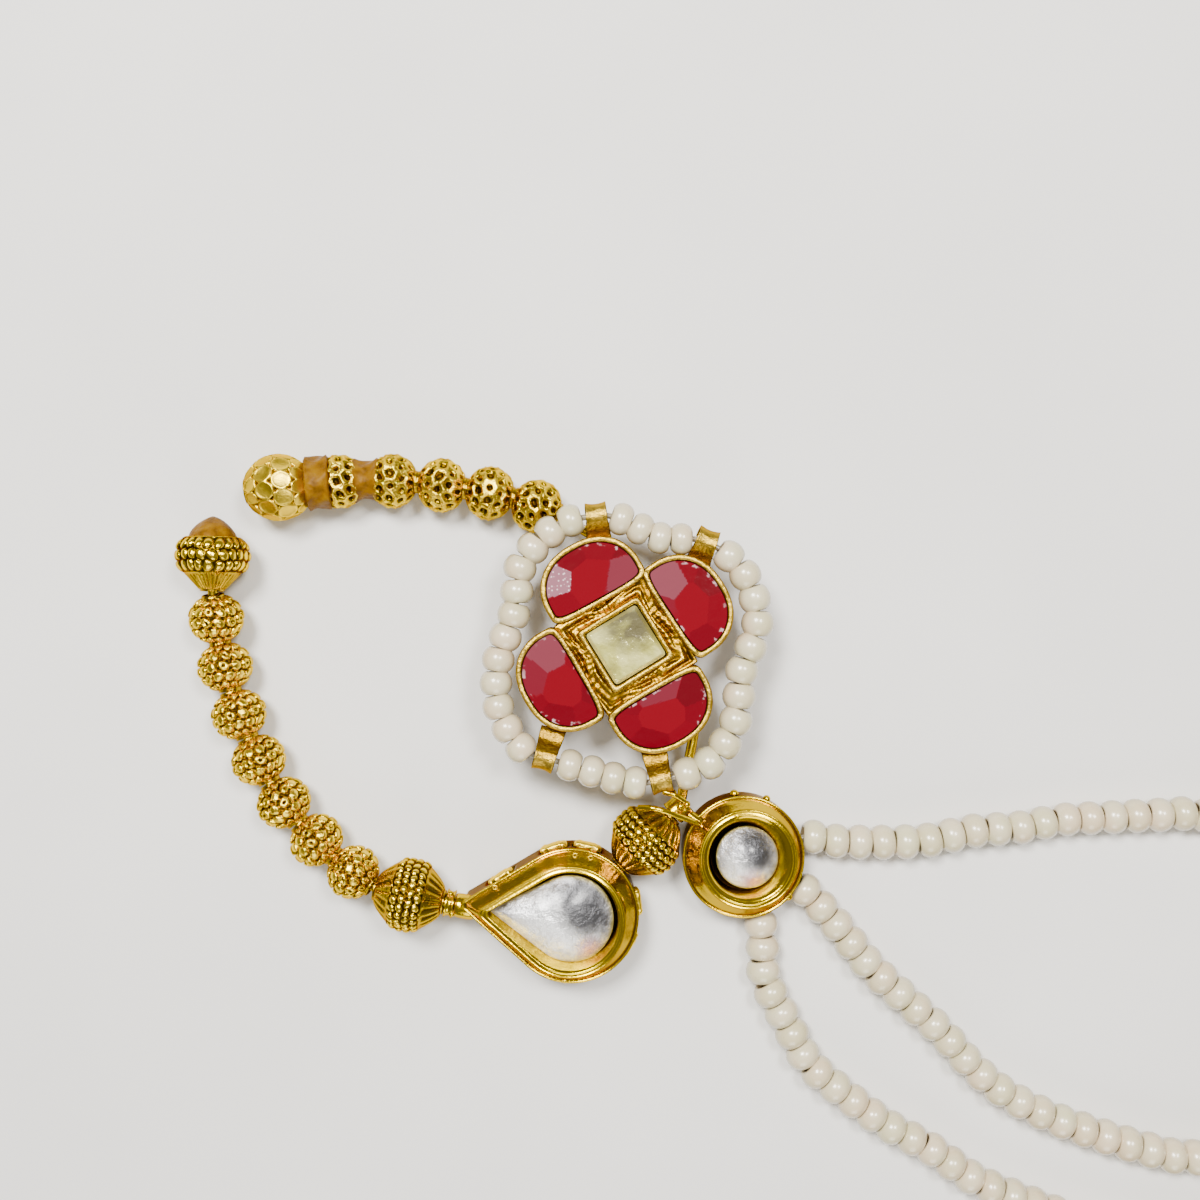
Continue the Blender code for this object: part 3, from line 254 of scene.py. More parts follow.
def make_piece(name, part, material, replaced=(), keys=("hollow_shade",), smooth=True):
    """Puts a part into a mesh: its points, its faces and, under the keys, its values at the points, such
    as hollow_shade, the painted shade from 0 to 1 by how hollow each lies. Closes its poles and seams,
    and lets the piece ride on the jewel."""
    points, faces, *values = part
    points = np.ascontiguousarray(np.asarray(points, np.float32).reshape(-1, 3))
    mesh = bpy.data.meshes.new(name)
    mesh.vertices.add(len(points))
    mesh.vertices.foreach_set("co", points.ravel())
    mesh.loops.add(faces.size)
    mesh.loops.foreach_set("vertex_index", np.ascontiguousarray(faces, np.int32).ravel())
    mesh.polygons.add(len(faces))
    mesh.polygons.foreach_set("loop_start", np.arange(len(faces), dtype=np.int32) * faces.shape[1])
    mesh.update(calc_edges=True)
    for key, value in zip(keys, values):
        layer = mesh.attributes.new(key, "FLOAT", "POINT")
        value = np.broadcast_to(np.ravel(value), len(points))
        layer.data.foreach_set("value", np.ascontiguousarray(value, np.float32))
    shape = bmesh.new()
    shape.from_mesh(mesh)
    bmesh.ops.remove_doubles(shape, verts=shape.verts, dist=1e-7)
    shape.to_mesh(mesh)
    shape.free()
    mesh.polygons.foreach_set("use_smooth", np.full(len(mesh.polygons), smooth))
    return place_piece(name, mesh, material, replaced)


def joined(parts):
    """Several parts one after the other as one."""
    points, faces, values, start = [], [], [], 0
    for part_points, part_faces, part_values in parts:
        flat = np.asarray(part_points).reshape(-1, 3)
        points.append(flat)
        faces.append(part_faces + start)
        values.append(np.broadcast_to(np.asarray(part_values, float).ravel(), len(flat)))
        start += len(flat)
    return np.concatenate(points), np.concatenate(faces), np.concatenate(values)


def basis(axis, up=UP):
    """Rows of unit vectors: sideways, upward and along the axis."""
    along = axis / np.linalg.norm(axis)
    side = up - along * (up @ along)
    if np.linalg.norm(side) < 1e-6:
        side = np.array([1.0, 0.0, 0.0])
    side = side / np.linalg.norm(side)
    return np.stack([side, np.cross(along, side), along])


def revolved(radius, height, angles, middle, axis):
    """Each profile point carried round the axis: the place is radius times the cosine and sine of the
    angle across the axis, and height along it. radius may vary with the angle."""
    radius = np.broadcast_to(radius, (len(height), len(angles)))
    height = np.broadcast_to(height[:, None], radius.shape)
    local = np.stack([radius * np.cos(angles), radius * np.sin(angles), height], -1)
    return local @ basis(axis) + middle


def ring_angles(count):
    return np.arange(count) * TAU / count


def smooth_route(points, closed=False, steps=24):
    """A smooth curve through the points, each span a cubic whose slope at a point is half the step
    between its neighbours. Returns places, and the length along to each."""
    points = np.asarray(points, float)
    if closed:
        extended = np.concatenate([points[-1:], points, points[:2]])
    else:
        extended = np.concatenate([2 * points[:1] - points[1:2], points, 2 * points[-1:] - points[-2:-1]])
    a, b, c, d = extended[:-3, None], extended[1:-2, None], extended[2:-1, None], extended[3:, None]
    t = (np.arange(steps) / steps)[None, :, None]
    spans = 0.5 * (2 * b + (c - a) * t + (2 * a - 5 * b + 4 * c - d) * t**2 + (3 * b - a - 3 * c + d) * t**3)
    places = np.concatenate([spans.reshape(-1, 3), points[:1] if closed else points[-1:]])
    lengths = np.concatenate([[0.0], np.cumsum(np.linalg.norm(np.diff(places, axis=0), axis=1))])
    return places, lengths


def at(route, along):
    """Places that far along the route, each coordinate read off between its nearest two places."""
    places, lengths = route
    along = np.atleast_1d(along)
    return np.stack([np.interp(along, lengths, places[:, k]) for k in range(3)], -1)


def headings(route, along, reach=0.0006):
    """The route's direction at each place, read off between a little before it and a little after."""
    along = np.atleast_1d(along)
    step = at(route, along + reach) - at(route, along - reach)
    return step / np.linalg.norm(step, axis=1, keepdims=True)


def tube(path, radius, sides=14):
    """A round tube: at each place of the path a ring lies square to the path's direction, and its
    end rings shrink to a point so that it is closed."""
    path = np.asarray(path, float)
    radius = np.broadcast_to(radius, len(path)).astype(float)
    path = np.concatenate([path[:1], path, path[-1:]])
    radius = np.concatenate([[0.0], radius, [0.0]])
    along = np.gradient(path, axis=0)
    along[0], along[-1] = path[2] - path[1], path[-2] - path[-3]
    along /= np.linalg.norm(along, axis=1, keepdims=True)
    side = np.cross(UP, along)
    side /= np.maximum(np.linalg.norm(side, axis=1, keepdims=True), 1e-9)
    rise = np.cross(along, side)
    angles = ring_angles(sides)[None, :, None]
    ring = side[:, None] * np.cos(angles) + rise[:, None] * np.sin(angles)
    return path[:, None] + radius[:, None, None] * ring, grid_faces(1, len(path), sides)


def lattice(around, along, columns, rows, ratio=1.0):
    """(distance, tone): the distance, in cells, to the nearest point of a lattice whose every other
    row is shifted by half a cell, and that point's own tone from 0 to 1, the fraction of a large sine
    of its row and column. around is an angle, along runs from -1 to 1."""
    x, y = np.broadcast_arrays(around / TAU * columns, (along + 1) / 2 * rows)
    nearest = np.full(x.shape, 9.0)
    tone = np.zeros(x.shape)
    for step in (-1, 0, 1):
        row = np.floor(y) + step
        across = x - 0.5 * np.mod(row, 2) - 0.5
        column = np.round(across)
        distance = np.hypot(across - column, (y - row - 0.5) * ratio)
        own = np.mod(np.sin(np.mod(column, columns) * 12.99 + row * 78.23) * 437.5, 1.0)
        tone = np.where(distance < nearest, own, tone)
        nearest = np.minimum(nearest, distance)
    return nearest, tone


def ramp(value, low, high):
    """0 below low, 1 above high, and a smooth S between."""
    t = np.clip((value - low) / (high - low), 0, 1)
    return t * t * (3 - 2 * t)


def bead_frame(node, toward=None):
    """(middle, axis, half length) of a turned solid: its axis is the direction along which its points
    spread differently from the other two. Toward 0 or 1 it points the way that x or y grows."""
    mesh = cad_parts[node].data
    points = np.empty(len(mesh.vertices) * 3, np.float32)
    mesh.vertices.foreach_get("co", points)
    points = np.unique(np.round(points.reshape(-1, 3).astype(float), 6), axis=0)
    centre = points.mean(0)
    spread, axes = np.linalg.eigh(np.cov((points - centre).T))
    axis = axes[:, 0 if spread[1] - spread[0] > spread[2] - spread[1] else 2]
    if toward is not None and axis[toward] < 0:
        axis = -axis
    reach = (points - centre) @ axis
    return centre + axis * (reach.min() + reach.max()) / 2, axis, (reach.max() - reach.min()) / 2


# Materials


class Nodes:
    """A material's node tree, with short calls to add a node and to wire it."""

    def __init__(self, name):
        self.material = bpy.data.materials.new(name)
        self.material.use_nodes = True
        self.tree = self.material.node_tree
        self.shader = self.tree.nodes["Principled BSDF"]

    def add(self, kind, inputs=None, **settings):
        node = self.tree.nodes.new(kind)
        for key, value in settings.items():
            setattr(node, key, value)
        for key, value in (inputs or {}).items():
            self.put(node.inputs[key], value)
        return node

    def put(self, socket, value):
        if hasattr(value, "is_output"):
            self.tree.links.new(value, socket)
        elif isinstance(value, (tuple, list)) and len(value) == 3 and socket.type == "RGBA":
            socket.default_value = (*value, 1.0)
        else:
            socket.default_value = value

    def where(self):
        return self.add("ShaderNodeTexCoord").outputs["Object"]

    def noise(self, scale, detail=3.0, roughness=0.5):
        inputs = {"Vector": self.where(), "Scale": scale, "Detail": detail, "Roughness": roughness}
        return self.add("ShaderNodeTexNoise", inputs).outputs["Fac"]

    def cells(self, scale):
        return self.add("ShaderNodeTexVoronoi", {"Vector": self.where(), "Scale": scale}).outputs["Distance"]

    def near(self, place, reach):
        """1 at the place, falling to 0 at the reach."""
        node = self.add("ShaderNodeVectorMath", operation="DISTANCE")
        self.put(node.inputs[0], self.where())
        node.inputs[1].default_value = place
        return self.between(node.outputs["Value"], 1.0, 0.0, reach * 0.25, reach)

    def value(self, name):
        return self.add("ShaderNodeAttribute", attribute_name=name).outputs["Fac"]

    def blend(self, factor, first, second):
        node = self.add("ShaderNodeMix", data_type="RGBA")
        self.put(node.inputs[0], factor)
        self.put(node.inputs[6], first)
        self.put(node.inputs[7], second)
        return node.outputs[2]

    def colours(self, factor, stops):
        node = self.add("ShaderNodeValToRGB", {"Fac": factor})
        elements = node.color_ramp.elements
        while len(elements) < len(stops):
            elements.new(0.5)
        for element, (position, colour) in zip(elements, stops):
            element.position = position
            element.color = (*colour, 1.0)
        return node.outputs["Color"]

    def between(self, value, low, high, from_low=0.0, from_high=1.0):
        """The value, taken from its own range to low and high."""
        inputs = {"Value": value, "From Min": from_low, "From Max": from_high, "To Min": low, "To Max": high}
        return self.add("ShaderNodeMapRange", inputs).outputs["Result"]

    def maths(self, operation, first, second):
        node = self.add("ShaderNodeMath", operation=operation)
        self.put(node.inputs[0], first)
        self.put(node.inputs[1], second)
        return node.outputs[0]

    def bump(self, height, depth):
        return self.add("ShaderNodeBump", {"Height": height, "Distance": depth}).outputs["Normal"]

    def times(self, first, second):
        return self.maths("MULTIPLY", first, second)

    def finish(self, **sockets):
        for key, value in sockets.items():
            self.put(self.shader.inputs[key.replace("_", " ")], value)
        return self.material


def colours():
    return bpy.context.scene.nath_colours


def sizes():
    return bpy.context.scene.nath_sizes


def scaled(tint, factors):
    return tuple(min(c * k, 1.0) for c, k in zip(tint, factors))


def gold(name, roughness=0.16, grain=0.00002, patches=0.35, edge=(0.6, 0.38, 0.04), amber=None, pale=False):
    """Yellow gold: bright where raised, with painted shade that makes it deep orange in hollows and dark
    at their bottom, with soft patches and a fine hammered grain. Amber is the place and the reach of a
    painted amber reflection on it."""
    made = Nodes(name)
    tint = colours()
    raised = (1.0, 0.72, 0.05) if pale else tint.bright_gold
    # painted shade: from the raised gold to deep gold to pit_shade_gold as hollow_shade grows
    stops = [(0.0, raised), (0.45, tint.deep_gold), (0.9, tint.pit_shade_gold)]
    base = made.colours(made.value("hollow_shade"), stops)
    patch = made.between(made.noise(420, 2), 0.0, patches, 0.45, 0.7)
    base = made.blend(patch, base, tuple(tint.deep_gold))
    # a painted amber reflection round the given place
    if amber:
        base = made.blend(made.between(made.near(*amber), 0.0, 0.9, 0.1, 0.5), base, (1.0, 0.58, 0.0))
    rough = made.between(made.noise(1500, 4), roughness * 0.6, roughness * 1.6)
    normal = made.bump(made.noise(5200, 3), grain)
    return made.finish(Base_Color=base, Metallic=1.0, Roughness=rough, Normal=normal, Specular_Tint=edge)


def antique(name):
    """Satin gold: painted shade leaves it paler on the rims and brown in the corners; worn in patches."""
    made = Nodes(name)
    tint = tuple(colours().antique_gold)
    # painted shade: from the satin gold to brown to dark brown as hollow_shade grows
    stops = [(0.0, tint), (0.45, (0.28, 0.155, 0.006)), (0.95, (0.07, 0.03, 0.003))]
    base = made.colours(made.value("hollow_shade"), stops)
    base = made.blend(made.between(made.noise(900, 4), 0, 0.55, 0.42, 0.7), base, (0.36, 0.215, 0.012))
    rough = made.between(made.noise(2200, 4), 0.24, 0.48)
    normal = made.bump(made.noise(3600, 5), 0.00008)
    return made.finish(Base_Color=base, Metallic=1.0, Roughness=rough, Normal=normal, Specular_Tint=FOIL_EDGE)


def foil_gold(name):
    """Folded gold foil: bright on its folds and brown in its valleys by painted shade, bent by a fine
    crumple.
    """
    made = Nodes(name)
    crumple = made.noise(1300, 3, 0.55)
    # painted shade: brown in the valleys, dark where hollow_shade is full
    stops = [(0.0, (0.52, 0.32, 0.02)), (0.45, (0.30, 0.155, 0.002)), (1.0, (0.09, 0.035, 0.0))]
    base = made.colours(made.value("hollow_shade"), stops)
    base = made.blend(made.between(made.noise(1100, 3), 0, 0.6, 0.45, 0.65), base, (0.34, 0.19, 0.004))
    normal = made.bump(crumple, 0.00010)
    return made.finish(Base_Color=base, Metallic=1.0, Roughness=0.30, Normal=normal, Specular_Tint=FOIL_EDGE)


def pearl(name):
    """Cream white with a lustre: faint pink and green tints and a warmer tone of its own on each bead;
    painted shade darkens it towards the hole, where it meets its neighbours, and at its grazing edges.
    """
    made = Nodes(name)
    tint = tuple(colours().pearl)
    pink, green = scaled(tint, (1.04, 0.96, 0.96)), scaled(tint, (0.93, 0.98, 0.90))
    base = made.colours(made.noise(260, 2), [(0.36, pink), (0.5, tint), (0.66, green)])
    base = made.blend(made.value("tone"), base, scaled(tint, (0.80, 0.72, 0.58)))
    # painted shade between the pearls, towards the hole
    base = made.blend(made.value("hollow_shade"), base, (0.14, 0.085, 0.03))
    # painted shade at the grazing edges
    grazing_shade = made.add("ShaderNodeLayerWeight", {"Blend": 0.35}).outputs["Facing"]
    base = made.blend(made.between(grazing_shade, 0.0, 0.75, 0.12, 0.9), base, (0.20, 0.145, 0.07))
    rough = made.between(made.noise(2600, 3), 0.22, 0.36)
    return made.finish(
        Base_Color=base, Roughness=rough, Coat_Weight=0.9, Coat_Roughness=0.20, Specular_IOR_Level=0.6,
        Normal=made.bump(made.noise(1700, 2), 0.00001),
    )


def wax(name):
    """Amber wax, uneven."""
    made = Nodes(name)
    tint = tuple(colours().wax)
    stops = [(0.3, scaled(tint, (0.4, 0.4, 0.4))), (0.5, tint), (0.75, (0.25, 0.125, 0.0))]
    base = made.colours(made.noise(900, 4), stops)
    rough = made.between(made.noise(1600, 3), 0.30, 0.55)
    return made.finish(
        Base_Color=base, Roughness=rough, Specular_IOR_Level=0.07, Coat_Weight=0.02, Coat_Roughness=0.25,
        Normal=made.bump(made.noise(1500, 4), 0.00018),
    )


def silver_foil(name, bright, bright_reach, dark, dark_reach, pink):
    """Polished clear stone over silvery foil: cloudy silver, a painted white reflection round one place,
    painted dark grey shade round another and pinkish round a third, crinkled, under a clear coat, with
    painted shade at its edge."""
    made = Nodes(name)
    tint = tuple(colours().foil)
    cloud = made.noise(330, 6, 0.62)
    stops = [(0.34, (0.10, 0.10, 0.11)), (0.46, (0.34, 0.34, 0.36)), (0.56, tint), (0.68, (0.95, 0.95, 0.95))]
    base = made.colours(cloud, stops)
    # painted reflection: white round the bright place
    white = made.times(made.near(bright, bright_reach), made.between(cloud, 0.3, 1.2, 0.35, 0.55))
    base = made.blend(made.between(white, 0.0, 1.0, 0.0, 0.8), base, (1.0, 1.0, 1.0))
    # painted shade: dark grey round the dark place
    shade = made.times(made.near(dark, dark_reach), made.between(made.noise(260, 3), 0.6, 1.6, 0.3, 0.65))
    base = made.blend(made.between(shade, 0.0, 0.95, 0.1, 0.7), base, (0.055, 0.055, 0.06))
    base = made.blend(made.times(made.near(pink, 0.0016), 0.7), base, (0.60, 0.25, 0.27))
    # painted shade at the stone's edge under the ridge
    base = made.blend(made.value("hollow_shade"), base, (0.30, 0.25, 0.07))
    bent = made.bump(made.noise(760, 5, 0.66), 0.00030)
    return made.finish(
        Base_Color=base, Metallic=0.55, Roughness=0.32, Coat_Weight=0.5, Coat_Roughness=0.16, Coat_IOR=1.5,
        Normal=bent,
    )


def ruby(name):
    """Deep red glass whose facets are painted lighter or darker as light would fall on each, a painted
    glint of fine bright points in the palest one and small chips along the edge."""
    made = Nodes(name)
    tint = tuple(colours().ruby)
    tone = made.value("tone")
    # painted light: each facet's tone from dark to pale
    stops = [(0.0, (0.03, 0.0, 0.002)), (0.42, tint), (0.75, (0.13, 0.008, 0.018)), (1.0, (0.26, 0.11, 0.14))]
    base = made.colours(tone, stops)
    # painted glint: fine bright points in the palest facets
    glint_specks = made.between(made.cells(3600), 1.0, 0.0, 0.10, 0.34)
    glint_specks = made.times(glint_specks, made.between(tone, 0.0, 0.9, 0.86, 0.97))
    base = made.blend(glint_specks, base, (0.80, 0.62, 0.64))
    chips = made.between(made.noise(1700, 3), 0.0, 1.0, 0.56, 0.62)
    chips = made.times(chips, made.between(made.value("edge"), 0.0, 0.8, 0.90, 0.94))
    chips = made.times(chips, made.between(made.noise(190, 1), 0.0, 1.0, 0.50, 0.56))
    base = made.blend(chips, base, (0.55, 0.34, 0.37))
    return made.finish(
        Base_Color=base, Roughness=0.16, Coat_Weight=0.12, Coat_Roughness=0.06, Specular_IOR_Level=0.04,
        Normal=made.bump(made.noise(900, 3), 0.00004),
    )


def lemon(name):
    """Pale yellow-green glass over foil: cloudy, with painted brownish grey shade round one place and a
    cut edge painted paler, facet by facet.
    """
    made = Nodes(name)
    tint = tuple(colours().lemon)
    stops = [(0.34, (0.24, 0.21, 0.03)), (0.47, tint), (0.64, (0.66, 0.63, 0.22))]
    shade = made.colours(made.noise(420, 4), stops)
    cloud = made.between(made.noise(520, 3), 0.5, 1.5, 0.3, 0.6)
    # painted shade round one place, broken up by the cloud
    dark = made.times(made.near((0.0068, 0.0256, 0.0068), 0.0029), cloud)
    shade = made.blend(dark, shade, (0.10, 0.085, 0.025))
    # painted light: each facet of the cut edge paler by its tone
    base = made.blend(made.value("tone"), shade, (0.58, 0.54, 0.20))
    return made.finish(
        Base_Color=base, Roughness=0.2, Coat_Weight=0.8, Coat_Roughness=0.10, Metallic=0.3,
        Normal=made.bump(made.noise(620, 4), 0.00025),
    )


# Gold beads


def turned_bead(bead, outer, height, hollow_shade, neck, capped=False):
    """Outer rows, with a collar at either end and closed by a straight bore, carried round the bead's
    axis. A capped bead stops half way up its second cone."""
    middle, axis, half = bead
    columns = outer.shape[1]
    collar = np.array([0.97, 1.0, 0.97, 0.80])[:, None] * neck * np.ones(columns)
    reach = half + COLLAR * np.array([0.1, 0.5, 0.9, 1.0])
    shade = np.full((4, columns), 0.42)
    rows = np.concatenate([collar[::-1], outer, collar, np.full((3, columns), BORE)])
    heights = np.concatenate([-reach[::-1], height, reach, half * np.array([0.9, 0.0, -0.9])])
    # painted shade: the collars' shade and full shade in the bore
    values = np.concatenate([shade, hollow_shade, shade, np.ones((3, columns))])
    if capped:
        keep = np.concatenate([heights[:-3] < 0.55 * half, np.ones(3, bool)])
        rows, heights, values = rows[keep], heights[keep], values[keep]
        heights[-3] = 0.5 * half
    points = revolved(rows, heights, ring_angles(columns), middle, axis)
    return points, grid_faces(1, len(rows), columns, close_rows=True), values


def openwork_bead(node, around, along, studded, columns=168, outer_rows=60):
    """A barrel round the bead's axis: the radius falls from the middle as a power of a cosine. A studded
    bead has a round stud on each point of a lattice and pits between, dark with painted shade; a pierced
    bead has a pit on each point and a knob where pits meet. Studs and pits differ a little in size."""
    middle, axis, half = bead_frame(node)
    swing = math.radians(64)
    v = np.linspace(-1, 1, outer_rows)
    radius = (sizes().small_bead / 2 - KNOB) * np.cos(v * swing) ** 1.02
    height = half * np.sin(v * swing) / math.sin(swing)
    angles = ring_angles(columns)
    turn = middle[0] * 900 + middle[1] * 1700
    warp = 0.07 * np.sin(v * 5 + turn)[:, None]
    lift = 0.05 * np.sin(angles * 3 + turn)[None, :]
    d, tone = lattice(angles[None, :] + turn + warp, v[:, None] + lift, around, along, 0.92)
    body = ramp(0.99 - np.abs(v), 0.0, 0.12)[:, None]
    end_shade = 0.25 * (1 - body)
    depth = sizes().openwork_depth
    if studded:
        stud = np.sqrt(np.clip(1 - (d / 0.43) ** 2, 0, 1)) * body
        pit = ramp(d, 0.38, 0.53) * body
        dimple = (1 - ramp(d, 0.06, 0.20)) * (tone > 0.72) * body
        outer = radius[:, None] + KNOB * stud * (0.55 + 0.45 * tone) - depth * (0.9 * pit + 0.6 * dimple)
        # painted shade: darker in pits, dimples and at the ends, lighter on studs, varied by each stud's tone
        hollow_shade = 0.20 + 0.62 * pit + 0.85 * dimple - 0.22 * stud + 0.28 * (tone - 0.5) + end_shade
    else:
        pit = (1 - ramp(d, 0.06 + 0.10 * tone, 0.30 + 0.08 * tone)) * body
        knob = ramp(d, 0.40, 0.56) * body
        outer = radius[:, None] - depth * pit + KNOB * knob * (0.4 + 0.6 * tone)
        # painted shade: darker in pits and at the ends, lighter on knobs
        hollow_shade = 0.26 + 0.95 * pit - 0.30 * knob + 0.22 * (tone - 0.5) + end_shade
    return turned_bead((middle, axis, half), outer, height, np.clip(hollow_shade, 0, 1), neck=0.00098)


def belted_bead(
    node, belt=0.46, flutes=17, flute_depth=0.00022, around=25, along=4, capped=False, columns=208
):
    """A belt with rows of granules between two fluted cones: a cone's radius falls as a power of the
    way along and swings with the cosine of the angle; each granule is a round bump on a lattice."""
    middle, axis, half = bead_frame(node, toward=1 if capped else None)
    if capped:
        middle = middle + axis * (CAPPED_HALF - half)
        half = CAPPED_HALF
    rise, power, sag = (0.45, 1.0, 0.17) if capped else (0.53, 0.72, 0.10)
    lower, upper = np.linspace(-1, -belt, 26)[:-1], np.linspace(belt, 1, 26)[1:]
    t = np.concatenate([lower, np.linspace(-belt, belt, 48), upper])
    cone = np.clip((np.abs(t) - belt) / (1 - belt), 0, 1)
    on_cones, on_the_belt = 0.38 + rise * (1 - cone) ** power, 1.0 - sag * np.abs(t / belt) ** 2.2
    radius = BELT_RADIUS * np.where(cone > 0, on_cones, on_the_belt)
    angles = ring_angles(columns)
    flute = 1 - np.abs(np.cos(angles * flutes / 2))[None, :] ** 0.8
    fluted = (ramp(cone, 0.03, 0.2) * (1 - 0.6 * ramp(cone, 0.75, 1.0)))[:, None]
    belted = (cone == 0)[:, None]
    warp = 0.035 * np.sin(angles * 5 + middle[0] * 800)[None, :] + 0.04 * np.sin(t * 9 + 1)[:, None]
    lift = 0.05 * np.sin(angles * 4)[None, :]
    d, tone = lattice(angles[None, :] + warp, t[:, None] / belt + lift, around, along, 0.95)
    granule = np.sqrt(np.clip(1 - (d / 0.46) ** 2, 0, 1)) * belted
    outer = radius[:, None] + sizes().granule_height * granule * (0.45 + 0.55 * tone)
    outer = outer - flute_depth * flute * fluted
    # painted shade between the granules and in the flutes
    between = np.clip(0.95 - 1.3 * granule, 0, 1) + 0.15 * tone
    hollow_shade = np.where(belted, np.clip(between, 0, 1), 0.36 + 0.40 * flute * fluted)
    return turned_bead((middle, axis, half), outer, half * t, hollow_shade, neck=0.00105, capped=capped)


def faceted_bead(node, columns=180, outer_rows=76):
    """A ball cut with round mirror facets: inside each lattice cell the radius is brought down to the
    flat of the facet, and the corners between facets are sunk as pits."""
    middle, axis, half = bead_frame(node)
    swing = math.radians(60)
    v = np.linspace(-1, 1, outer_rows)
    radius = FACETED_RADIUS * np.cos(v * swing) ** 1.05
    height = half * np.sin(v * swing) / math.sin(swing)
    angles = ring_angles(columns)
    d, tone = lattice(angles[None, :] + 0.45, v[:, None], 11, 4, 0.95)
    flat = 0.00015 * (1 - np.clip(d / 0.46, 0, 1) ** 2)
    edge = np.exp(-(((d - 0.45) / 0.035) ** 2))
    pit = ramp(d, 0.50, 0.60)
    body = ramp(0.99 - np.abs(v), 0.0, 0.10)[:, None]
    outer = radius[:, None] - (flat + 0.00042 * pit - 0.00005 * edge) * body
    # painted shade in the pits and at the ends, a painted highlight along each facet's rim, and each facet a
    # tone of its own
    hollow_shade = np.clip((0.26 * tone + 0.95 * pit - 0.2 * edge) * body + 0.4 * (1 - body), 0, 1)
    return turned_bead((middle, axis, half), outer, height, hollow_shade, neck=0.00115)


def smoothed_copy(node, name, material, bevel=0.0):
    """The solid's own shape as a new piece, its loose corners joined, shaded smooth and, given a bevel,
    rounded.
    """
    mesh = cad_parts[node].data.copy()
    mesh.name = name
    shape = bmesh.new()
    shape.from_mesh(mesh)
    bmesh.ops.remove_doubles(shape, verts=shape.verts, dist=1e-6)
    bmesh.ops.dissolve_limit(shape, angle_limit=math.radians(1), verts=shape.verts, edges=shape.edges)
    shape.to_mesh(mesh)
    shape.free()
    layer = mesh.attributes.new("hollow_shade", "FLOAT", "POINT")
    layer.data.foreach_set("value", np.full(len(mesh.vertices), 0.15, np.float32))
    mesh.shade_smooth()
    mesh.set_sharp_from_angle(angle=math.radians(40 if bevel else 70))
    mesh.materials.clear()
    obj = place_piece(name, mesh, material, [node])
    if bevel:
        rounding = obj.modifiers.new("rounding", "BEVEL")
        rounding.width = bevel
        rounding.segments = 3
        rounding.limit_method = "ANGLE"
        rounding.angle_limit = math.radians(40)


# Settings


def outward_and_sideways(angle):
    outward = np.array([math.cos(angle), math.sin(angle)])
    return outward, np.array([-outward[1], outward[0]])


def drop_ring(radius, reach, tip):
    """Round a teardrop whose point lies at minus reach: an arc of the round end, a straight flank, a
    small arc at the tip and the other flank."""
    slope = math.asin((radius - tip) / (reach - tip))
    turn = math.pi / 2 + slope
    arc = np.linspace(-turn, turn, 150)
    nose = np.linspace(turn, TAU - turn, 16)
    round_end = radius * np.stack([np.cos(arc), np.sin(arc)], -1)
    point_end = np.array([tip - reach, 0.0]) + tip * np.stack([np.cos(nose), np.sin(nose)], -1)
    share = np.linspace(0, 1, 46)[1:-1, None]
    first = round_end[-1] + (point_end[0] - round_end[-1]) * share
    second = point_end[-1] + (round_end[0] - point_end[-1]) * share
    return np.concatenate([round_end, first, point_end, second])


def teardrop_ring(inset, radius=TEARDROP_RADIUS, reach=TEARDROP_REACH, tip=0.0004):
    """The teardrop's outline drawn in: its flanks keep their slope, its tip keeps its rounding."""
    slope = (radius - tip) / (reach - tip)
    return drop_ring(radius - inset, (radius - inset - tip) / slope + tip, tip)


def round_ring(inset, radius=ROUND_RADIUS, count=200):
    angles = ring_angles(count)
    return (radius - inset) * np.stack([np.cos(angles), np.sin(angles)], -1)


def setting_profile(rim, ridge, ridge_inset):
    """(inset, height, hollow_shade) up the wall, over the rolled rim, across the sloping band and over the
    flat ridge with a fine line at either edge; hollow_shade is painted shade, darkest on the wall."""
    rows = [(0.00200, 0.00000, 0.6), (0.00030, 0.00000, 0.6), (0.00008, 0.00008, 0.5)]
    rows += [(0.0, height, 0.86) for height in np.linspace(0.0003, rim - 0.0004, 26)]
    rows += [
        (0.0, rim - 0.00030, 0.35), (-0.00006, rim - 0.00022, 0.0), (-0.00009, rim - 0.00010, 0.0),
        (-0.00006, rim - 0.00002, 0.0), (0.00002, rim, 0.0), (0.00010, rim - 0.00002, 0.15),
        (0.00015, rim - 0.00010, 0.85), (0.00020, rim - 0.00004, 0.3),
    ]
    for share in (0.15, 0.35, 0.55, 0.75, 0.92):
        rows.append((0.0002 + (ridge_inset - 0.0002) * share, rim + (ridge - rim - 0.00012) * share, 0.30))
    rows += [
        (ridge_inset, ridge - 0.00010, 0.6), (ridge_inset + 0.00003, ridge - 0.00002, 0.0),
        (ridge_inset + 0.00010, ridge, 0.0), (ridge_inset + 0.00014, ridge - 0.00005, 0.6),
        (ridge_inset + 0.00020, ridge - 0.00004, 0.1), (ridge_inset + 0.00034, ridge - 0.00004, 0.1),
        (ridge_inset + 0.00039, ridge, 0.0), (ridge_inset + 0.00046, ridge, 0.0),
        (ridge_inset + 0.00051, ridge - 0.00008, 0.25),
    ]
    return np.array(rows)


def set_in_place(part, centre, turn):
    """The part turned about +Z and moved to the centre."""
    points, faces, *values = part
    cosine, sine = math.cos(turn), math.sin(turn)
    x = points[..., 0] * cosine - points[..., 1] * sine + centre[0]
    y = points[..., 0] * sine + points[..., 1] * cosine + centre[1]
    return np.stack([x, y, points[..., 2]], -1), faces, *values


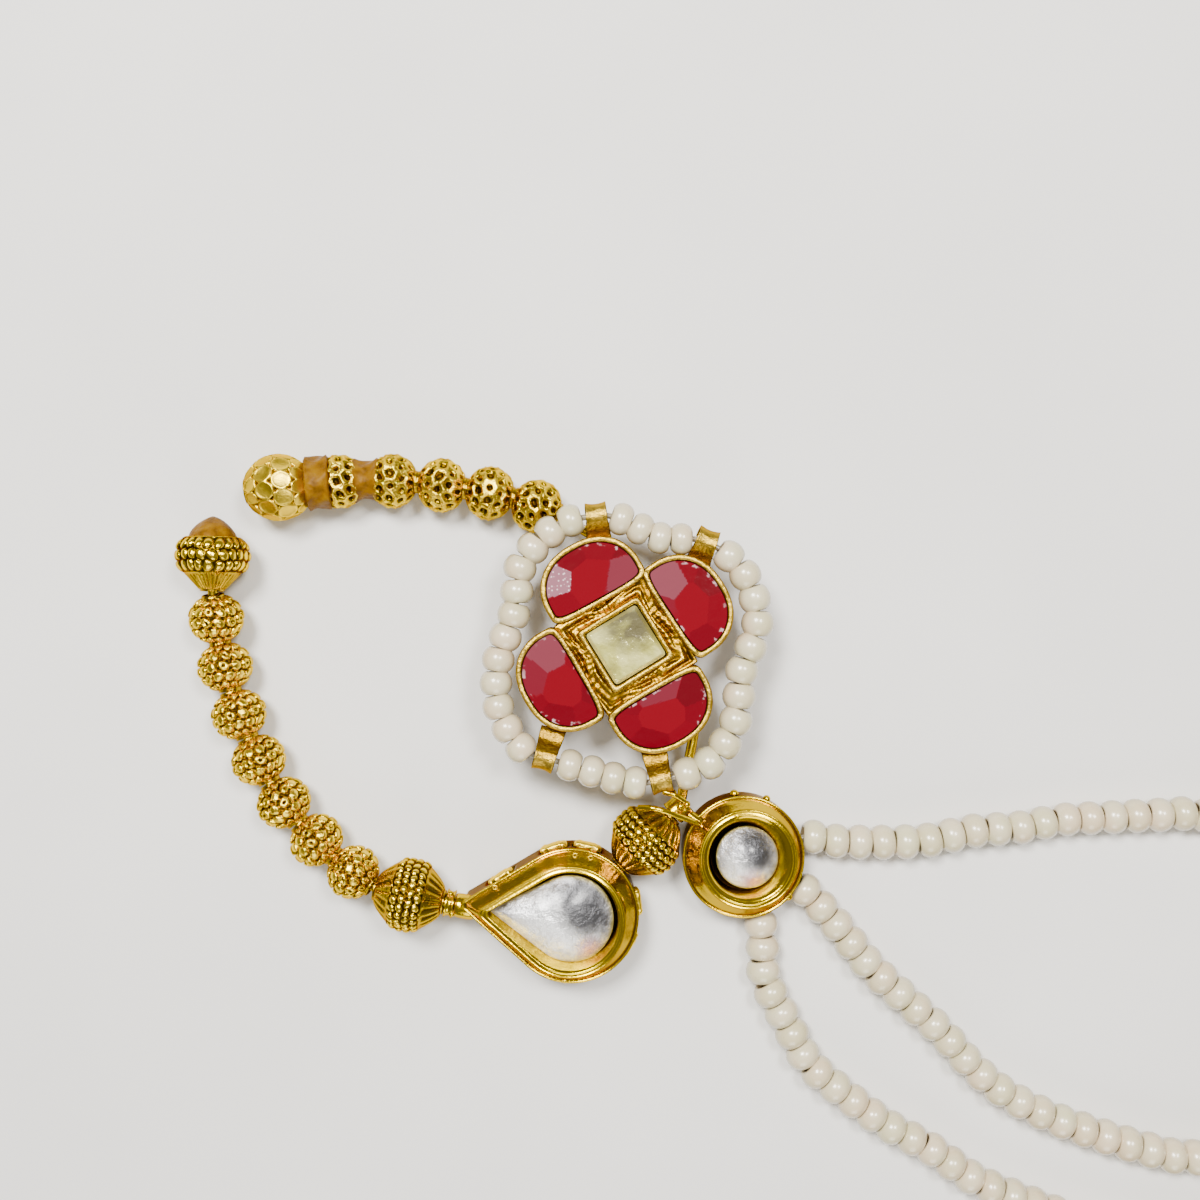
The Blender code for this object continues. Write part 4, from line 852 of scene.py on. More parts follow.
def setting(ring, rows, inner_ring, seat, shift, rim, windows=()):
    """The outline drawn in and raised row by row, the head moved a little off the middle above the rim;
    inside the ridge the outline turns step by step into the stone's, while it falls to the seat with more
    painted shade. A window sinks the wall where a point lies within its length and height, and is painted
    dark with shade."""
    outlines = np.stack([ring(inset) for inset in rows[:, 0]])
    ridge = rows[-1, 1]
    share = np.linspace(0, 1, 12)[1:, None, None]
    inner = outlines[-1] + (inner_ring - outlines[-1]) * share**0.8
    fall = ridge - (ridge - seat) * share[:, 0, 0] ** 1.5
    middle = inner_ring.mean(0)
    under = middle + (inner_ring - middle) * np.full((2, 1, 1), 0.85)
    outlines = np.concatenate([outlines, inner, under])
    heights = np.concatenate([rows[:, 1], fall, [seat - 0.0001, 0.0006]])
    # painted shade: the inner wall darkens towards the seat, and the underside is dark
    hollow_shade = np.concatenate([rows[:, 2], 0.12 + 0.5 * share[:, 0, 0] ** 2, [0.9, 0.9]])
    heights = np.broadcast_to(heights[:, None], outlines.shape[:2]).copy()
    hollow_shade = np.broadcast_to(hollow_shade[:, None], outlines.shape[:2]).copy()
    plan = outlines + ramp(heights, rim - 0.0002, ridge)[..., None] * np.asarray(shift)
    for middle, angle in windows:
        outward, sideways = outward_and_sideways(angle)
        away = plan - middle
        inside = 1 - ramp(np.abs(away @ sideways), 0.00125, 0.00140)
        inside *= 1 - ramp(np.abs(heights - rim * 0.52), 0.00085, 0.00100)
        inside *= np.abs(away @ outward) < 0.0005
        plan = plan - inside[..., None] * outward * 0.00035
        # painted shade inside each window
        hollow_shade = np.maximum(hollow_shade, 0.95 * inside)
    points = np.concatenate([plan, heights[..., None]], -1)
    return points, grid_faces(1, len(points), points.shape[1], close_rows=True), hollow_shade


def slot_places(radius=TEARDROP_RADIUS, reach=TEARDROP_REACH):
    """Middle and outward angle of each window: round the round end, and one on each flank."""
    places = [(radius * outward_and_sideways(a)[0], a) for a in np.radians(SLOT_DEGREES)]
    slope = math.asin(radius / reach)
    for side in (-1, 1):
        normal = side * (math.pi / 2 + slope)
        touch = radius * outward_and_sideways(normal)[0]
        places.append(((touch + np.array([-reach, 0.0])) / 2, normal))
    return places


def window_bars(rim):
    """A long granular bar that stands out of each window: a box rounded by powers of the cosine and
    sine, its skin swollen by products of sines."""
    u = ring_angles(64)[None, :]
    v = np.linspace(-math.pi / 2, math.pi / 2, 26)[:, None]

    def power(value, exponent):
        return np.sign(value) * np.abs(value) ** exponent

    parts = []
    for middle, angle in slot_places():
        long = 0.00122 * power(np.cos(v), 0.35) * power(np.cos(u), 0.45)
        thick = 0.00040 * power(np.cos(v), 0.5) * power(np.sin(u), 0.6)
        tall = np.broadcast_to(0.00072 * power(np.sin(v), 0.6), long.shape)
        grain = np.sin(long * 9800 + 0.5) * np.sin(tall * 5200 + thick * 6000 + 1.0)
        outward, sideways = outward_and_sideways(angle)
        swollen = 1 + 0.09 * grain
        flat = middle + (thick * swollen)[..., None] * outward + long[..., None] * sideways
        points = np.concatenate([flat, (tall * swollen + rim * 0.56)[..., None]], -1)
        # a little painted shade where the grain dips
        parts.append((points, grid_faces(1, 26, 64), 0.10 - 0.10 * grain))
    return joined(parts)


def nub(place, radius, columns=18, rows=12):
    """A small ball: rings whose radius is the cosine, and height the sine, of an angle that runs from
    one pole to the other."""
    v = np.linspace(-math.pi / 2, math.pi / 2, rows)
    points = revolved(np.cos(v)[:, None] * radius, np.sin(v) * radius, ring_angles(columns), place, UP)
    return points, grid_faces(1, rows, columns), np.full(points.shape[:2], 0.08)


def small_ring(place, radius=0.00017, thickness=0.00006, columns=28, rows=10):
    """A torus lying flat at the place."""
    angle = ring_angles(rows)
    radii = (radius + thickness * np.cos(angle))[:, None]
    points = revolved(radii, thickness * np.sin(angle), ring_angles(columns), place, UP)
    return points, grid_faces(1, rows, columns, close_rows=True), np.full(points.shape[:2], 0.05)


def closed_below(crown, outline, bottom):
    """A flat bottom's middle, its outline, then the crown's rows from the outline inward."""
    low = np.concatenate([outline, np.full((len(outline), 1), bottom)], -1)[None]
    centre = np.broadcast_to(np.array([*outline.mean(0), bottom]), low.shape)
    return np.concatenate([centre, low, crown[::-1]])


def domed_stone(outline, bottom, girdle, top, power=2.3, rings=26):
    """From the middle out: the height falls from the top as a power of the share of the way to the
    outline; then straight down at the girdle and in across the flat bottom. The inner rings follow
    the outline's running mean, so that a pointed outline leaves no crease on the dome."""
    share = np.sin(np.linspace(0, math.pi / 2, rings))[:, None, None]
    middle = outline.mean(0)
    reach = len(outline) // 7
    soft = np.mean([np.roll(outline, step, axis=0) for step in range(-reach, reach + 1)], axis=0)
    plan = middle + ((soft - middle) * (1 - share**3) + (outline - middle) * share**3) * share
    height = girdle + (top - girdle) * (1 - share[..., 0] ** power)
    dome = np.concatenate([plan, np.broadcast_to(height, plan.shape[:2])[..., None]], -1)
    points = closed_below(dome, outline, bottom)
    # painted shade towards the girdle
    edge = np.concatenate([[1.0, 1.0], ramp(share[::-1, 0, 0], 0.93, 1.0)])
    hollow_shade = np.broadcast_to(edge[:, None], points.shape[:2])
    return points, grid_faces(1, len(points), len(outline)), hollow_shade


def faceted_stone(outline, bottom, girdle, top, facets, rings=44):
    """The height over each place is the lowest of the facets' planes: a flat table, and facets that
    fall outward past their own distance from the middle. Each facet has its own tone of painted light,
    how lit it looks."""
    share = np.linspace(0, 1, rings)[:, None, None]
    middle = outline.mean(0)
    plan = middle + (outline - middle)[None] * share
    heights, tones = [np.full(plan.shape[:2], top)], [TABLE_TONE]
    for angle, distance, slope, tone in facets:
        reach = (plan[..., 0] - middle[0]) * math.cos(angle) + (plan[..., 1] - middle[1]) * math.sin(angle)
        heights.append(top - slope * (reach - distance))
        tones.append(tone)
    heights = np.stack(heights)
    lowest = np.maximum(heights.min(0), girdle)
    tone = np.array(tones)[heights.argmin(0)]
    crown = np.concatenate([plan, lowest[..., None]], -1)
    points = closed_below(crown, outline, bottom)
    tone = np.concatenate([np.full((2, len(outline)), 0.1), tone[::-1]])
    edge = np.concatenate([[0.0, 0.0], share[::-1, 0, 0]])
    return points, grid_faces(1, len(points), len(outline)), tone, np.broadcast_to(edge[:, None], tone.shape)


# Flower


def petal_ring(inset, count=144):
    """Round a D-shaped petal on the +X side: powers of the cosine and sine flatten its chord and
    round its outer side."""
    widest = SQUARE_SIDE / 2 - PETAL_WALL / 2 + PETAL_ROUNDING
    angle = (np.arange(count) + 0.5) * TAU / count
    across, along = np.cos(angle), np.sin(angle)
    outer = across > 0
    reach = np.where(outer, PETAL_REACH - PETAL_ROUNDING + PETAL_WALL / 2 - inset, 0.0016 - inset)
    x = widest + reach * np.sign(across) * np.abs(across) ** np.where(outer, 0.95, 0.34)
    y = (PETAL_CHORD / 2 - inset) * np.sign(along) * np.abs(along) ** np.where(outer, 0.85, 0.5)
    return np.stack([x, y], -1)


def square_ring(half, corner=0.0003, count=160):
    """Round a square with rounded corners: a circle of the corner's size carried out to each corner,
    and straight sides between."""
    angle = (np.arange(count) + 0.5) * TAU / count
    reach = np.maximum(np.abs(np.cos(angle)), np.abs(np.sin(angle)))
    square = np.stack([np.cos(angle), np.sin(angle)], -1) / reach[:, None] * half
    inner = np.clip(square, -(half - corner), half - corner)
    away = square - inner
    size = np.maximum(np.linalg.norm(away, axis=1, keepdims=True), 1e-9)
    return inner + away / size * np.minimum(size, corner)


def rim(ring, width, bottom, top):
    """A wall along the outline: up its outer side, over a rounded top that waves a little, as if
    pressed by hand, and down its inner side."""
    half_way = (bottom + top) / 2
    rows = np.array([
        (0.0, bottom, 0.6), (0.0, half_way, 0.5), (0.0, top - 0.00022, 0.3),
        (width * 0.08, top - 0.00008, 0.1), (width * 0.25, top - 0.00001, 0.0), (width * 0.5, top, 0.0),
        (width * 0.75, top - 0.00001, 0.0), (width * 0.92, top - 0.00008, 0.1),
        (width, top - 0.00022, 0.4), (width, half_way, 0.7), (width, bottom, 0.95),
    ])
    outlines = np.stack([ring(inset) for inset in rows[:, 0]])
    turn = ring_angles(outlines.shape[1])[None, :]
    wave = 0.00003 * (np.sin(turn * 5 + 1) + 0.6 * np.sin(turn * 11 + 2)) * (rows[:, 1] > half_way)[:, None]
    points = np.concatenate([outlines, (rows[:, 1, None] + wave)[..., None]], -1)
    # painted shade: bright on the rounded top, darker down the walls, darkest at the inner foot
    hollow_shade = np.broadcast_to(rows[:, 2, None], outlines.shape[:2])
    return points, grid_faces(1, len(rows), outlines.shape[1], close_rows=True), hollow_shade


def slab(outline, bottom, top):
    """A flat plate: its middle below, its outline below and above, and its middle above."""
    middle = outline.mean(0)
    rows = []
    for share, z in ((0.0, bottom), (1.0, bottom), (1.0, top), (0.0, top)):
        rows.append(np.concatenate([middle + (outline - middle) * share, np.full((len(outline), 1), z)], -1))
    points = np.stack(rows)
    return points, grid_faces(1, 4, len(outline)), np.full(points.shape[:2], 0.7)


def foil_strip(inner, outer, height, columns=320, rows=22):
    """Folded foil between two squares: height plus long folds along the sides and short creases, both
    sums of sines of the way round and across."""
    share = np.linspace(0, 1, rows)[:, None, None]
    inside = square_ring(inner, count=columns)
    outside = square_ring(outer, corner=0.0001, count=columns)
    plan = inside + (outside - inside) * share
    turn, s = ring_angles(columns)[None, :], share[..., 0]
    fold = np.sin(s * 8 + 1.3 * np.sin(turn * 3 + 1)) + 0.7 * np.sin(s * 14 + 2 * np.sin(turn * 5))
    crease = np.sin(turn * 29 + 7 * s) * np.sin(turn * 17 - 5 * s + 1)
    rise = height + (0.00009 * fold + 0.00004 * crease) * np.sin(s * math.pi) ** 0.4
    top = np.concatenate([plan, np.broadcast_to(rise, plan.shape[:2])[..., None]], -1)
    below = top[::-1].copy()
    below[..., 2] = height - 0.0004
    points = np.concatenate([top[::-1], below[::-1]])
    # painted shade: more in the valleys of the folds, and full shade on the underside
    hollow_shade = np.clip(0.45 - 0.35 * fold, 0, 1)
    values = np.concatenate([hollow_shade[::-1], np.ones_like(hollow_shade)])
    return points, grid_faces(1, len(points), columns, close_rows=True)[:, ::-1], values


def bail(middle, heading, width=BAIL_LENGTH, thickness=0.00028, wrap=0.00118):
    """A band folded over the pearl thread: its path rises round the outer side of the thread, passes
    over it and runs down to the petal; it is narrower half way, and dished across."""
    inward = np.cross(UP, heading)
    inward /= np.linalg.norm(inward)
    centre = np.array([*FLOWER_CENTRE, middle[2]])
    if inward @ (centre - middle) < 0:
        inward = -inward
    turn = np.radians(np.linspace(-75, 128, 34))
    round_part = np.stack([-np.cos(turn), np.sin(turn)], -1) * wrap
    last = round_part[-1]
    run = np.array([[0.00125, 0.00042], [0.00155, 0.00012], [0.00190, 0.00002], [0.00260, 0.0]])
    path = np.concatenate([round_part, run[run[:, 0] > last[0]]])
    step = np.gradient(path, axis=0)
    step /= np.linalg.norm(step, axis=1, keepdims=True)
    normal = np.stack([-step[:, 1], step[:, 0]], -1)
    across = np.linspace(-1, 1, 15)
    along = np.linspace(0, 1, len(path))
    narrow = 1 - 0.10 * np.sin(along * math.pi) ** 2 + 0.16 * ramp(along, 0.86, 1.0)
    dish = -0.00016 * (1 - across**2)[None, :] * np.sin(along * math.pi)[:, None] ** 0.5
    outer = path[:, None] + normal[:, None] * dish[..., None]
    inner = path[:, None] - normal[:, None] * np.full_like(dish, thickness)[..., None]
    section = np.concatenate([outer, inner[:, ::-1]], 1)
    side = np.concatenate([across, across[::-1]])[None, :] * narrow[:, None] * width / 2
    points = middle + section[..., :1] * inward + section[..., 1:] * UP + side[..., None] * heading
    ends = points.mean(1, keepdims=True).repeat(points.shape[1], 1)
    points = np.concatenate([ends[:1], points, ends[-1:]])
    # painted shade where the band runs down to the petal
    hollow_shade = np.concatenate([[0.5], 0.05 + 0.5 * ramp(along, 0.7, 0.95), [0.6]])
    return points, grid_faces(1, *points.shape[:2]), np.broadcast_to(hollow_shade[:, None], points.shape[:2])


def on_quarter(part, quarter):
    """The petal's part turned to its quarter of the flower, with that petal's own turn and shift."""
    points, *rest = part
    own_turn, inward = PETAL_SETTING[quarter]
    shifted = points - np.array([inward, 0.0, 0.0])
    return set_in_place((shifted, *rest), (0.0, 0.0), quarter * TAU / 4 + math.radians(own_turn))


def on_flower(part):
    """From the flower's own place to its place on the jewel."""
    points, *rest = set_in_place(part, FLOWER_CENTRE, FLOWER_TURN)
    return points + UP * FLOWER_BACK, *rest


def hollow_rod(start, end, outer, bulge, inner=BORE, columns=40):
    """A short tube with rounded ends round the line from start to end, narrower half way by its
    bulge, or wider where that is negative."""
    start, end = np.asarray(start, float), np.asarray(end, float)
    half = np.linalg.norm(end - start) / 2
    t = np.array([-1, -0.97, -0.88, -0.5, 0, 0.5, 0.88, 0.97, 1, 1, -1.0])
    lip = np.array([0.86, 0.95, 1.0, 1 - bulge * 0.7, 1 - bulge, 1 - bulge * 0.7, 1.0, 0.95, 0.86, 0, 0])
    radius = np.where(lip > 0, lip * outer, inner)
    points = revolved(radius[:, None], half * t, ring_angles(columns), (start + end) / 2, end - start)
    # painted shade inside the bore
    hollow_shade = np.broadcast_to(np.where(lip > 0, 0.1, 0.9)[:, None], points.shape[:2])
    return points, grid_faces(1, len(t), columns, close_rows=True), hollow_shade


# Pearls


def pearls(middles, axes, diameter, lengths, columns=24, rows=16):
    """A ring-shaped bead on each place: round its section, an oval, the radius is the section's middle
    plus a power of the cosine, and the height a power of the sine. Size and tilt vary a little."""
    angle = ring_angles(rows)
    cosine, sine = np.cos(angle), np.sin(angle)
    hole = sizes().pearl_hole / 2
    index = np.arange(len(middles))
    wobble = np.stack([np.sin(index * 12.9898), np.sin(index * 78.233), np.sin(index * 37.719)], -1)
    outer = diameter / 2 * (1 + 0.025 * wobble[:, 0])
    width = (outer - hole) / 2
    radius = (outer + hole)[:, None] / 2 + width[:, None] * np.sign(cosine) * np.abs(cosine) ** 1.4
    height = lengths[:, None] / 2 * 0.985 * sine
    along = axes + 0.07 * wobble
    along /= np.linalg.norm(along, axis=1, keepdims=True)
    side = UP - along * (along @ UP)[:, None]
    side /= np.linalg.norm(side, axis=1, keepdims=True)
    rise = np.cross(along, side)
    turn = ring_angles(columns)
    ring = side[:, None] * np.cos(turn)[None, :, None] + rise[:, None] * np.sin(turn)[None, :, None]
    points = middles[:, None, None] + radius[:, :, None, None] * ring[:, None]
    points = points + height[:, :, None, None] * along[:, None, None]
    # painted shade on the inner side of each bead's section, towards the hole and its neighbours
    hollow_shade = np.broadcast_to(ramp(-cosine, -0.15, 0.7)[None, :, None], points.shape[:3])
    tone = np.broadcast_to((0.15 + 0.15 * wobble[:, 1])[:, None, None], points.shape[:3])
    return points, grid_faces(len(middles), rows, columns, close_rows=True), hollow_shade, tone


def pearl_ring_route():
    """Through the pearl ring's points, and how far along it each of them lies."""
    x, y = FLOWER_CENTRE
    points = [(px * MM + x, py * MM + y, RING_PEARL_HEIGHT) for px, py in PEARL_RING_MM]
    places, lengths = smooth_route(points, closed=True)
    return (places, lengths), lengths[::24]


def ring_pearl_places():
    """Along the pearl ring: the middle of each pearl, its length, and the middles of the bails."""
    route, knots = pearl_ring_route()
    bails = knots[list(BAIL_POINTS)]
    ends = np.append(bails[1:], knots[-1])
    clear = BAIL_LENGTH / 2 + BEAD_GAP
    middles, lengths = [], []
    for start, end, count in zip(bails, ends, PEARLS_BETWEEN_BAILS):
        pitch = (end - start - 2 * clear) / count
        middles.append(start + clear + pitch * (np.arange(count) + 0.5))
        lengths.append(np.full(count, pitch))
    return route, np.concatenate(middles), np.concatenate(lengths), bails


def strand_route(name):
    """Through the strand's points, from inside the round setting's wall to inside the bar."""
    listed = np.array([(x * MM, y * MM, STRAND_HEIGHT) for x, y in STRANDS_MM[name]])
    centre = np.array([*ROUND_CENTRE, STRAND_HEIGHT])
    outward = (listed[0] - centre) / np.linalg.norm(listed[0] - centre)
    wall = centre + outward * ROUND_RADIUS
    bore = BAR_CENTRE[1] + STRAND_ROWS[name] * STRAND_SPACING
    mouth = np.array([BAR_CENTRE[0] - BAR_WIDTH / 2, bore, STRAND_HEIGHT])
    east = np.array([1.0, 0.0, 0.0])
    run_in = [mouth - east * PEARL_LENGTH * 2.4, mouth - east * PEARL_LENGTH]
    ends = wall - outward * THREAD_END, mouth + east * THREAD_END
    return smooth_route([ends[0], wall, *listed, *run_in, mouth, ends[1]])


def strand_pearl_places(route):
    """Along the strand: the middle of each pearl and its length, as many as there is room for."""
    start = THREAD_END + BEAD_GAP
    room = route[1][-1] - 2 * start
    count = int(room / sizes().pearl_length)
    pitch = room / count
    return start + pitch * (np.arange(count) + 0.5), np.full(count, pitch)


# Operators


class NATH_OT_small_beads(Operator):
    """Builds the openwork gold beads of both arms"""

    bl_idname = "nath.small_beads"
    bl_label = "Small Beads"

    def execute(self, context):
        finish = gold("openwork_gold", 0.15, 0.00006, patches=0.25, pale=True)
        for arm, count, around in (("lower", 7, 13), ("upper", 5, 12)):
            for k in range(1, count + 1):
                node = f"{arm}_bead_{k}"
                part = openwork_bead(node, around, 5, studded=arm == "lower")
                make_piece(f"openwork_{node}", part, finish, [node])
        return {"FINISHED"}


class NATH_OT_large_beads(Operator):
    """Builds the belted beads and the faceted end bead"""

    bl_idname = "nath.large_beads"
    bl_label = "Large Beads"

    def execute(self, context):
        finish = gold("belt_gold", 0.18, 0.00003, patches=0.2, pale=True)
        end_cut = dict(belt=0.50, flutes=34, flute_depth=0.00014, around=21, along=3, capped=True)
        for node, cut in (("band_bead_left", {}), ("band_bead_right", {}), ("lower_end_bead", end_cut)):
            make_piece(f"belted_{node}", belted_bead(node, **cut), finish, [node])
        finish = gold("mirror_gold", 0.30, 0.00002, pale=True)
        part = faceted_bead("upper_end_bead")
        make_piece("faceted_end_bead", part, finish, ["upper_end_bead"])
        return {"FINISHED"}


class NATH_OT_wires(Operator):
    """Builds the two ring wires, the collar at the teardrop's tip and the bright wire by the junction"""

    bl_idname = "nath.wires"
    bl_label = "Ring Wires"

    def execute(self, context):
        finish = gold("wire_gold", 0.2)
        for node in ("lower_wire", "upper_wire"):
            smoothed_copy(node, f"{node}_gold", finish)
        middle, axis, half = bead_frame("band_bead_left", toward=0)
        end = middle + axis * half
        parts = [
            hollow_rod(end + axis * 0.00028, end + axis * 0.00105, 0.00125, 0.18),
            hollow_rod(end + axis * 0.00110, end + axis * 0.00290, 0.00100, -0.06),
            nub(end + axis * 0.0007 + np.array([0.0001, 0.0010, 0.0007]), 0.00028),
            nub(end + axis * 0.0008 + np.array([0.0001, -0.0007, 0.0008]), 0.00026),
        ]
        middle, axis, half = bead_frame("band_bead_right", toward=1)
        end = middle + axis * half
        lug = end + axis * 0.0011
        wall = np.array([*ROUND_CENTRE, lug[2]]) - lug
        wall /= np.linalg.norm(wall)
        parts.append(hollow_rod(end + axis * 0.00035, end + axis * 0.00185, 0.00115, 0.1))
        arm = [lug + wall * 0.0010, lug + wall * 0.0022, lug + wall * 0.0036]
        # each piece with its own painted shade: the arm darker than the bright wire ends
        for route, radius, sides, hollow_shade in (
            (arm, 0.00055, 20, 0.3), (LONG_WIRE_END, 0.00024, 14, 0.0), (SHORT_WIRE_END, 0.00024, 14, 0.1)
        ):
            parts.append((*tube(smooth_route(route)[0], radius, sides), hollow_shade))
        parts += [nub(place, 0.00032) for place in SOLDER_BALLS]
        make_piece("junction_gold", joined(parts), gold("junction_gold", 0.16))
        return {"FINISHED"}


class NATH_OT_wax(Operator):
    """Builds the wax cap, sleeve and collar"""

    bl_idname = "nath.wax"
    bl_label = "Wax"

    def execute(self, context):
        finish = wax("amber_wax")
        columns = 96
        angles = ring_angles(columns)
        across = angles[None, :]
        t = np.linspace(-1, 1, 40)
        up = t[:, None]
        for node, reach, waist, lip in (
            ("wax_sleeve", 0.00112, 0.00165, 0.00208), ("wax_collar", 0.00105, 0.00228, 0.00244)
        ):
            middle, axis, _ = bead_frame(node)
            if node == "wax_collar":
                middle = middle + axis * math.copysign(0.00042, axis[0])
            wave = 1 + 0.04 * np.sin(across * 3 + 1) * np.cos(up * 2) + 0.025 * np.sin(across * 7 + 4 * up)
            radius = (waist + (lip - waist) * np.abs(up) ** 2.2) * wave
            radius = radius * (1 - 0.12 * ramp(np.abs(up), 0.86, 1.0))
            rows = np.concatenate([radius, np.full((2, columns), BORE)])
            points = revolved(rows, reach * np.concatenate([t, [0.9, -0.9]]), angles, middle, axis)
            part = points, grid_faces(1, len(rows), columns, close_rows=True)
            make_piece(f"soft_{node}", part, finish, [node])
        middle, axis, half = bead_frame("wax_cap", toward=1)
        foot = -half - 0.0006
        up = np.linspace(0, 1, 40)[:, None]
        rise = np.sin(up * math.pi / 2)
        wave = 1 + 0.05 * np.sin(across * 2 + 0.7) + 0.02 * np.sin(across * 5 + 6 * up)
        radius = 0.00215 * (1 - rise**1.7) ** 0.72 * wave
        rows = np.concatenate([np.zeros((1, columns)), radius])
        height = np.concatenate([[foot], foot + (half - foot) * rise[:, 0]])
        part = revolved(rows, height, angles, middle, axis), grid_faces(1, len(rows), columns)
        make_piece("soft_wax_cap", part, finish, ["wax_cap"])
        return {"FINISHED"}


class NATH_OT_teardrop(Operator):
    """Builds the teardrop setting, its window bars and its stone"""

    bl_idname = "nath.teardrop"
    bl_label = "Teardrop"

    def execute(self, context):
        place = TEARDROP_CENTRE, TEARDROP_TURN
        rows = setting_profile(TEARDROP_RIM, TEARDROP_RIDGE, RIDGE_INSET)
        inner = drop_ring(0.00387, 0.0073, 0.0002)
        part = setting(teardrop_ring, rows, inner, 0.0040, TEARDROP_HEAD_SHIFT, TEARDROP_RIM, slot_places())
        finish = gold("band_gold", 0.15, 0.00001, edge=BAND_EDGE, amber=TEARDROP_AMBER_REFLECTION)
        make_piece("teardrop_gold", set_in_place(part, *place), finish, ["teardrop_setting"])
        trim = [set_in_place(window_bars(TEARDROP_RIM), *place)]
        trim += [small_ring(ring_place) for ring_place in TEARDROP_RINGS]
        trim.append(nub((0.00138, -0.00529, 0.0046), 0.00022))
        finish = gold("bar_gold", 0.28, 0.00004, patches=0.1, edge=(1.0, 0.78, 0.25), pale=True)
        make_piece("window_bars", joined(trim), finish)
        outline = drop_ring(0.00377, 0.0071, 0.00012) + np.asarray(TEARDROP_HEAD_SHIFT)
        part = set_in_place(domed_stone(outline, 0.0039, 0.0045, 0.00565), *place)
        finish = silver_foil("teardrop_foil", *TEARDROP_LIGHT_SHADE_AND_PINK)
        make_piece("teardrop_dome", part, finish, ["teardrop_stone"])
        return {"FINISHED"}


class NATH_OT_round(Operator):
    """Builds the round setting, its nubs and its stone"""

    bl_idname = "nath.round"
    bl_label = "Round Setting"

    def execute(self, context):
        place = ROUND_CENTRE, 0.0
        rows = setting_profile(ROUND_RIM, ROUND_RIDGE, RIDGE_INSET)
        part = setting(round_ring, rows, round_ring(0.00240), 0.0031, ROUND_HEAD_SHIFT, ROUND_RIM)
        finish = gold("round_band_gold", 0.15, 0.00001, edge=BAND_EDGE, amber=ROUND_AMBER_REFLECTION)
        make_piece("round_gold", set_in_place(part, *place), finish, ["round_setting"])
        nubs = [nub(nub_place, radius) for nub_place, radius in ROUND_NUBS]
        make_piece("round_nubs", joined(nubs), gold("nub_gold", 0.18))
        outline = round_ring(0.00255) + np.asarray(ROUND_HEAD_SHIFT)
        part = set_in_place(domed_stone(outline, 0.0030, 0.0036, 0.00472), *place)
        finish = silver_foil("round_foil", *ROUND_LIGHT_SHADE_AND_PINK)
        make_piece("round_dome", part, finish, ["round_stone"])
        return {"FINISHED"}


class NATH_OT_flower(Operator):
    """Builds the flower's frame, foil and stones"""

    bl_idname = "nath.flower"
    bl_label = "Flower"

    def execute(self, context):
        half = SQUARE_SIDE / 2
        parts = [on_flower(slab(square_ring(half), 0.0, 0.0005))]
        for quarter in range(4):
            plate = slab(petal_ring(0.0001), 0.00004, 0.00052)
            wall = rim(petal_ring, PETAL_WALL, 0.00004, FLOWER_DEPTH - 0.00005)
            parts += [on_flower(on_quarter(part, quarter)) for part in (plate, wall)]

        def bezel_ring(inset):
            return square_ring(0.00305 - inset)

        parts.append(on_flower(rim(bezel_ring, 0.00045, 0.0004, FLOWER_DEPTH + 0.00054)))
        route, _, _, bails = ring_pearl_places()
        for middle, heading in zip(at(route, bails), headings(route, bails + 1e-6)):
            parts.append(bail(middle, heading))
        finish = antique("flower_antique_gold")
        make_piece("flower_gold", joined(parts), finish, ["flower_frame"])
        foil = on_flower(foil_strip(0.00300, half - 0.00010, FLOWER_DEPTH - 0.00045))
        make_piece("channel_foil", foil, foil_gold("folded_foil"))
        self.stones()
        return {"FINISHED"}

    def stones(self):
        """Four rose-cut petals, each facet with its own angle, distance and tone of painted light, and the
        table-cut square in the middle, whose cut edge is painted paler, facet by facet."""
        finish = ruby("ruby_glass")
        outline = petal_ring(PETAL_WALL + 0.00005)
        for quarter, cut in enumerate(PETAL_FACETS):
            facets = [
                (math.radians(angle), distance / 1000, FACET_SLOPE, tone) for angle, distance, tone in cut
            ]
            stone = faceted_stone(outline, 0.00065, 0.0012, FLOWER_DEPTH + 0.00002, facets)
            stone = on_flower(on_quarter(stone, quarter))
            name, node = f"ruby_petal_{quarter + 1}", f"petal_stone_{quarter + 1}"
            make_piece(name, stone, finish, [node], ("tone", "edge"), smooth=False)
        facets = [(TAU * k / 4, 0.00222, 0.8, 0.2 + 0.14 * k) for k in range(4)]
        bottom, girdle, top = FLOWER_DEPTH - 0.0005, FLOWER_DEPTH - 0.0002, FLOWER_DEPTH + 0.0004
        points, faces, tone, _ = faceted_stone(square_ring(0.00250), bottom, girdle, top, facets)
        stone = on_flower((points, faces, np.where(tone == TABLE_TONE, 0.0, tone)))
        finish = lemon("lemon_glass")
        make_piece("lemon_centre", stone, finish, ["centre_stone"], ("tone",), smooth=False)


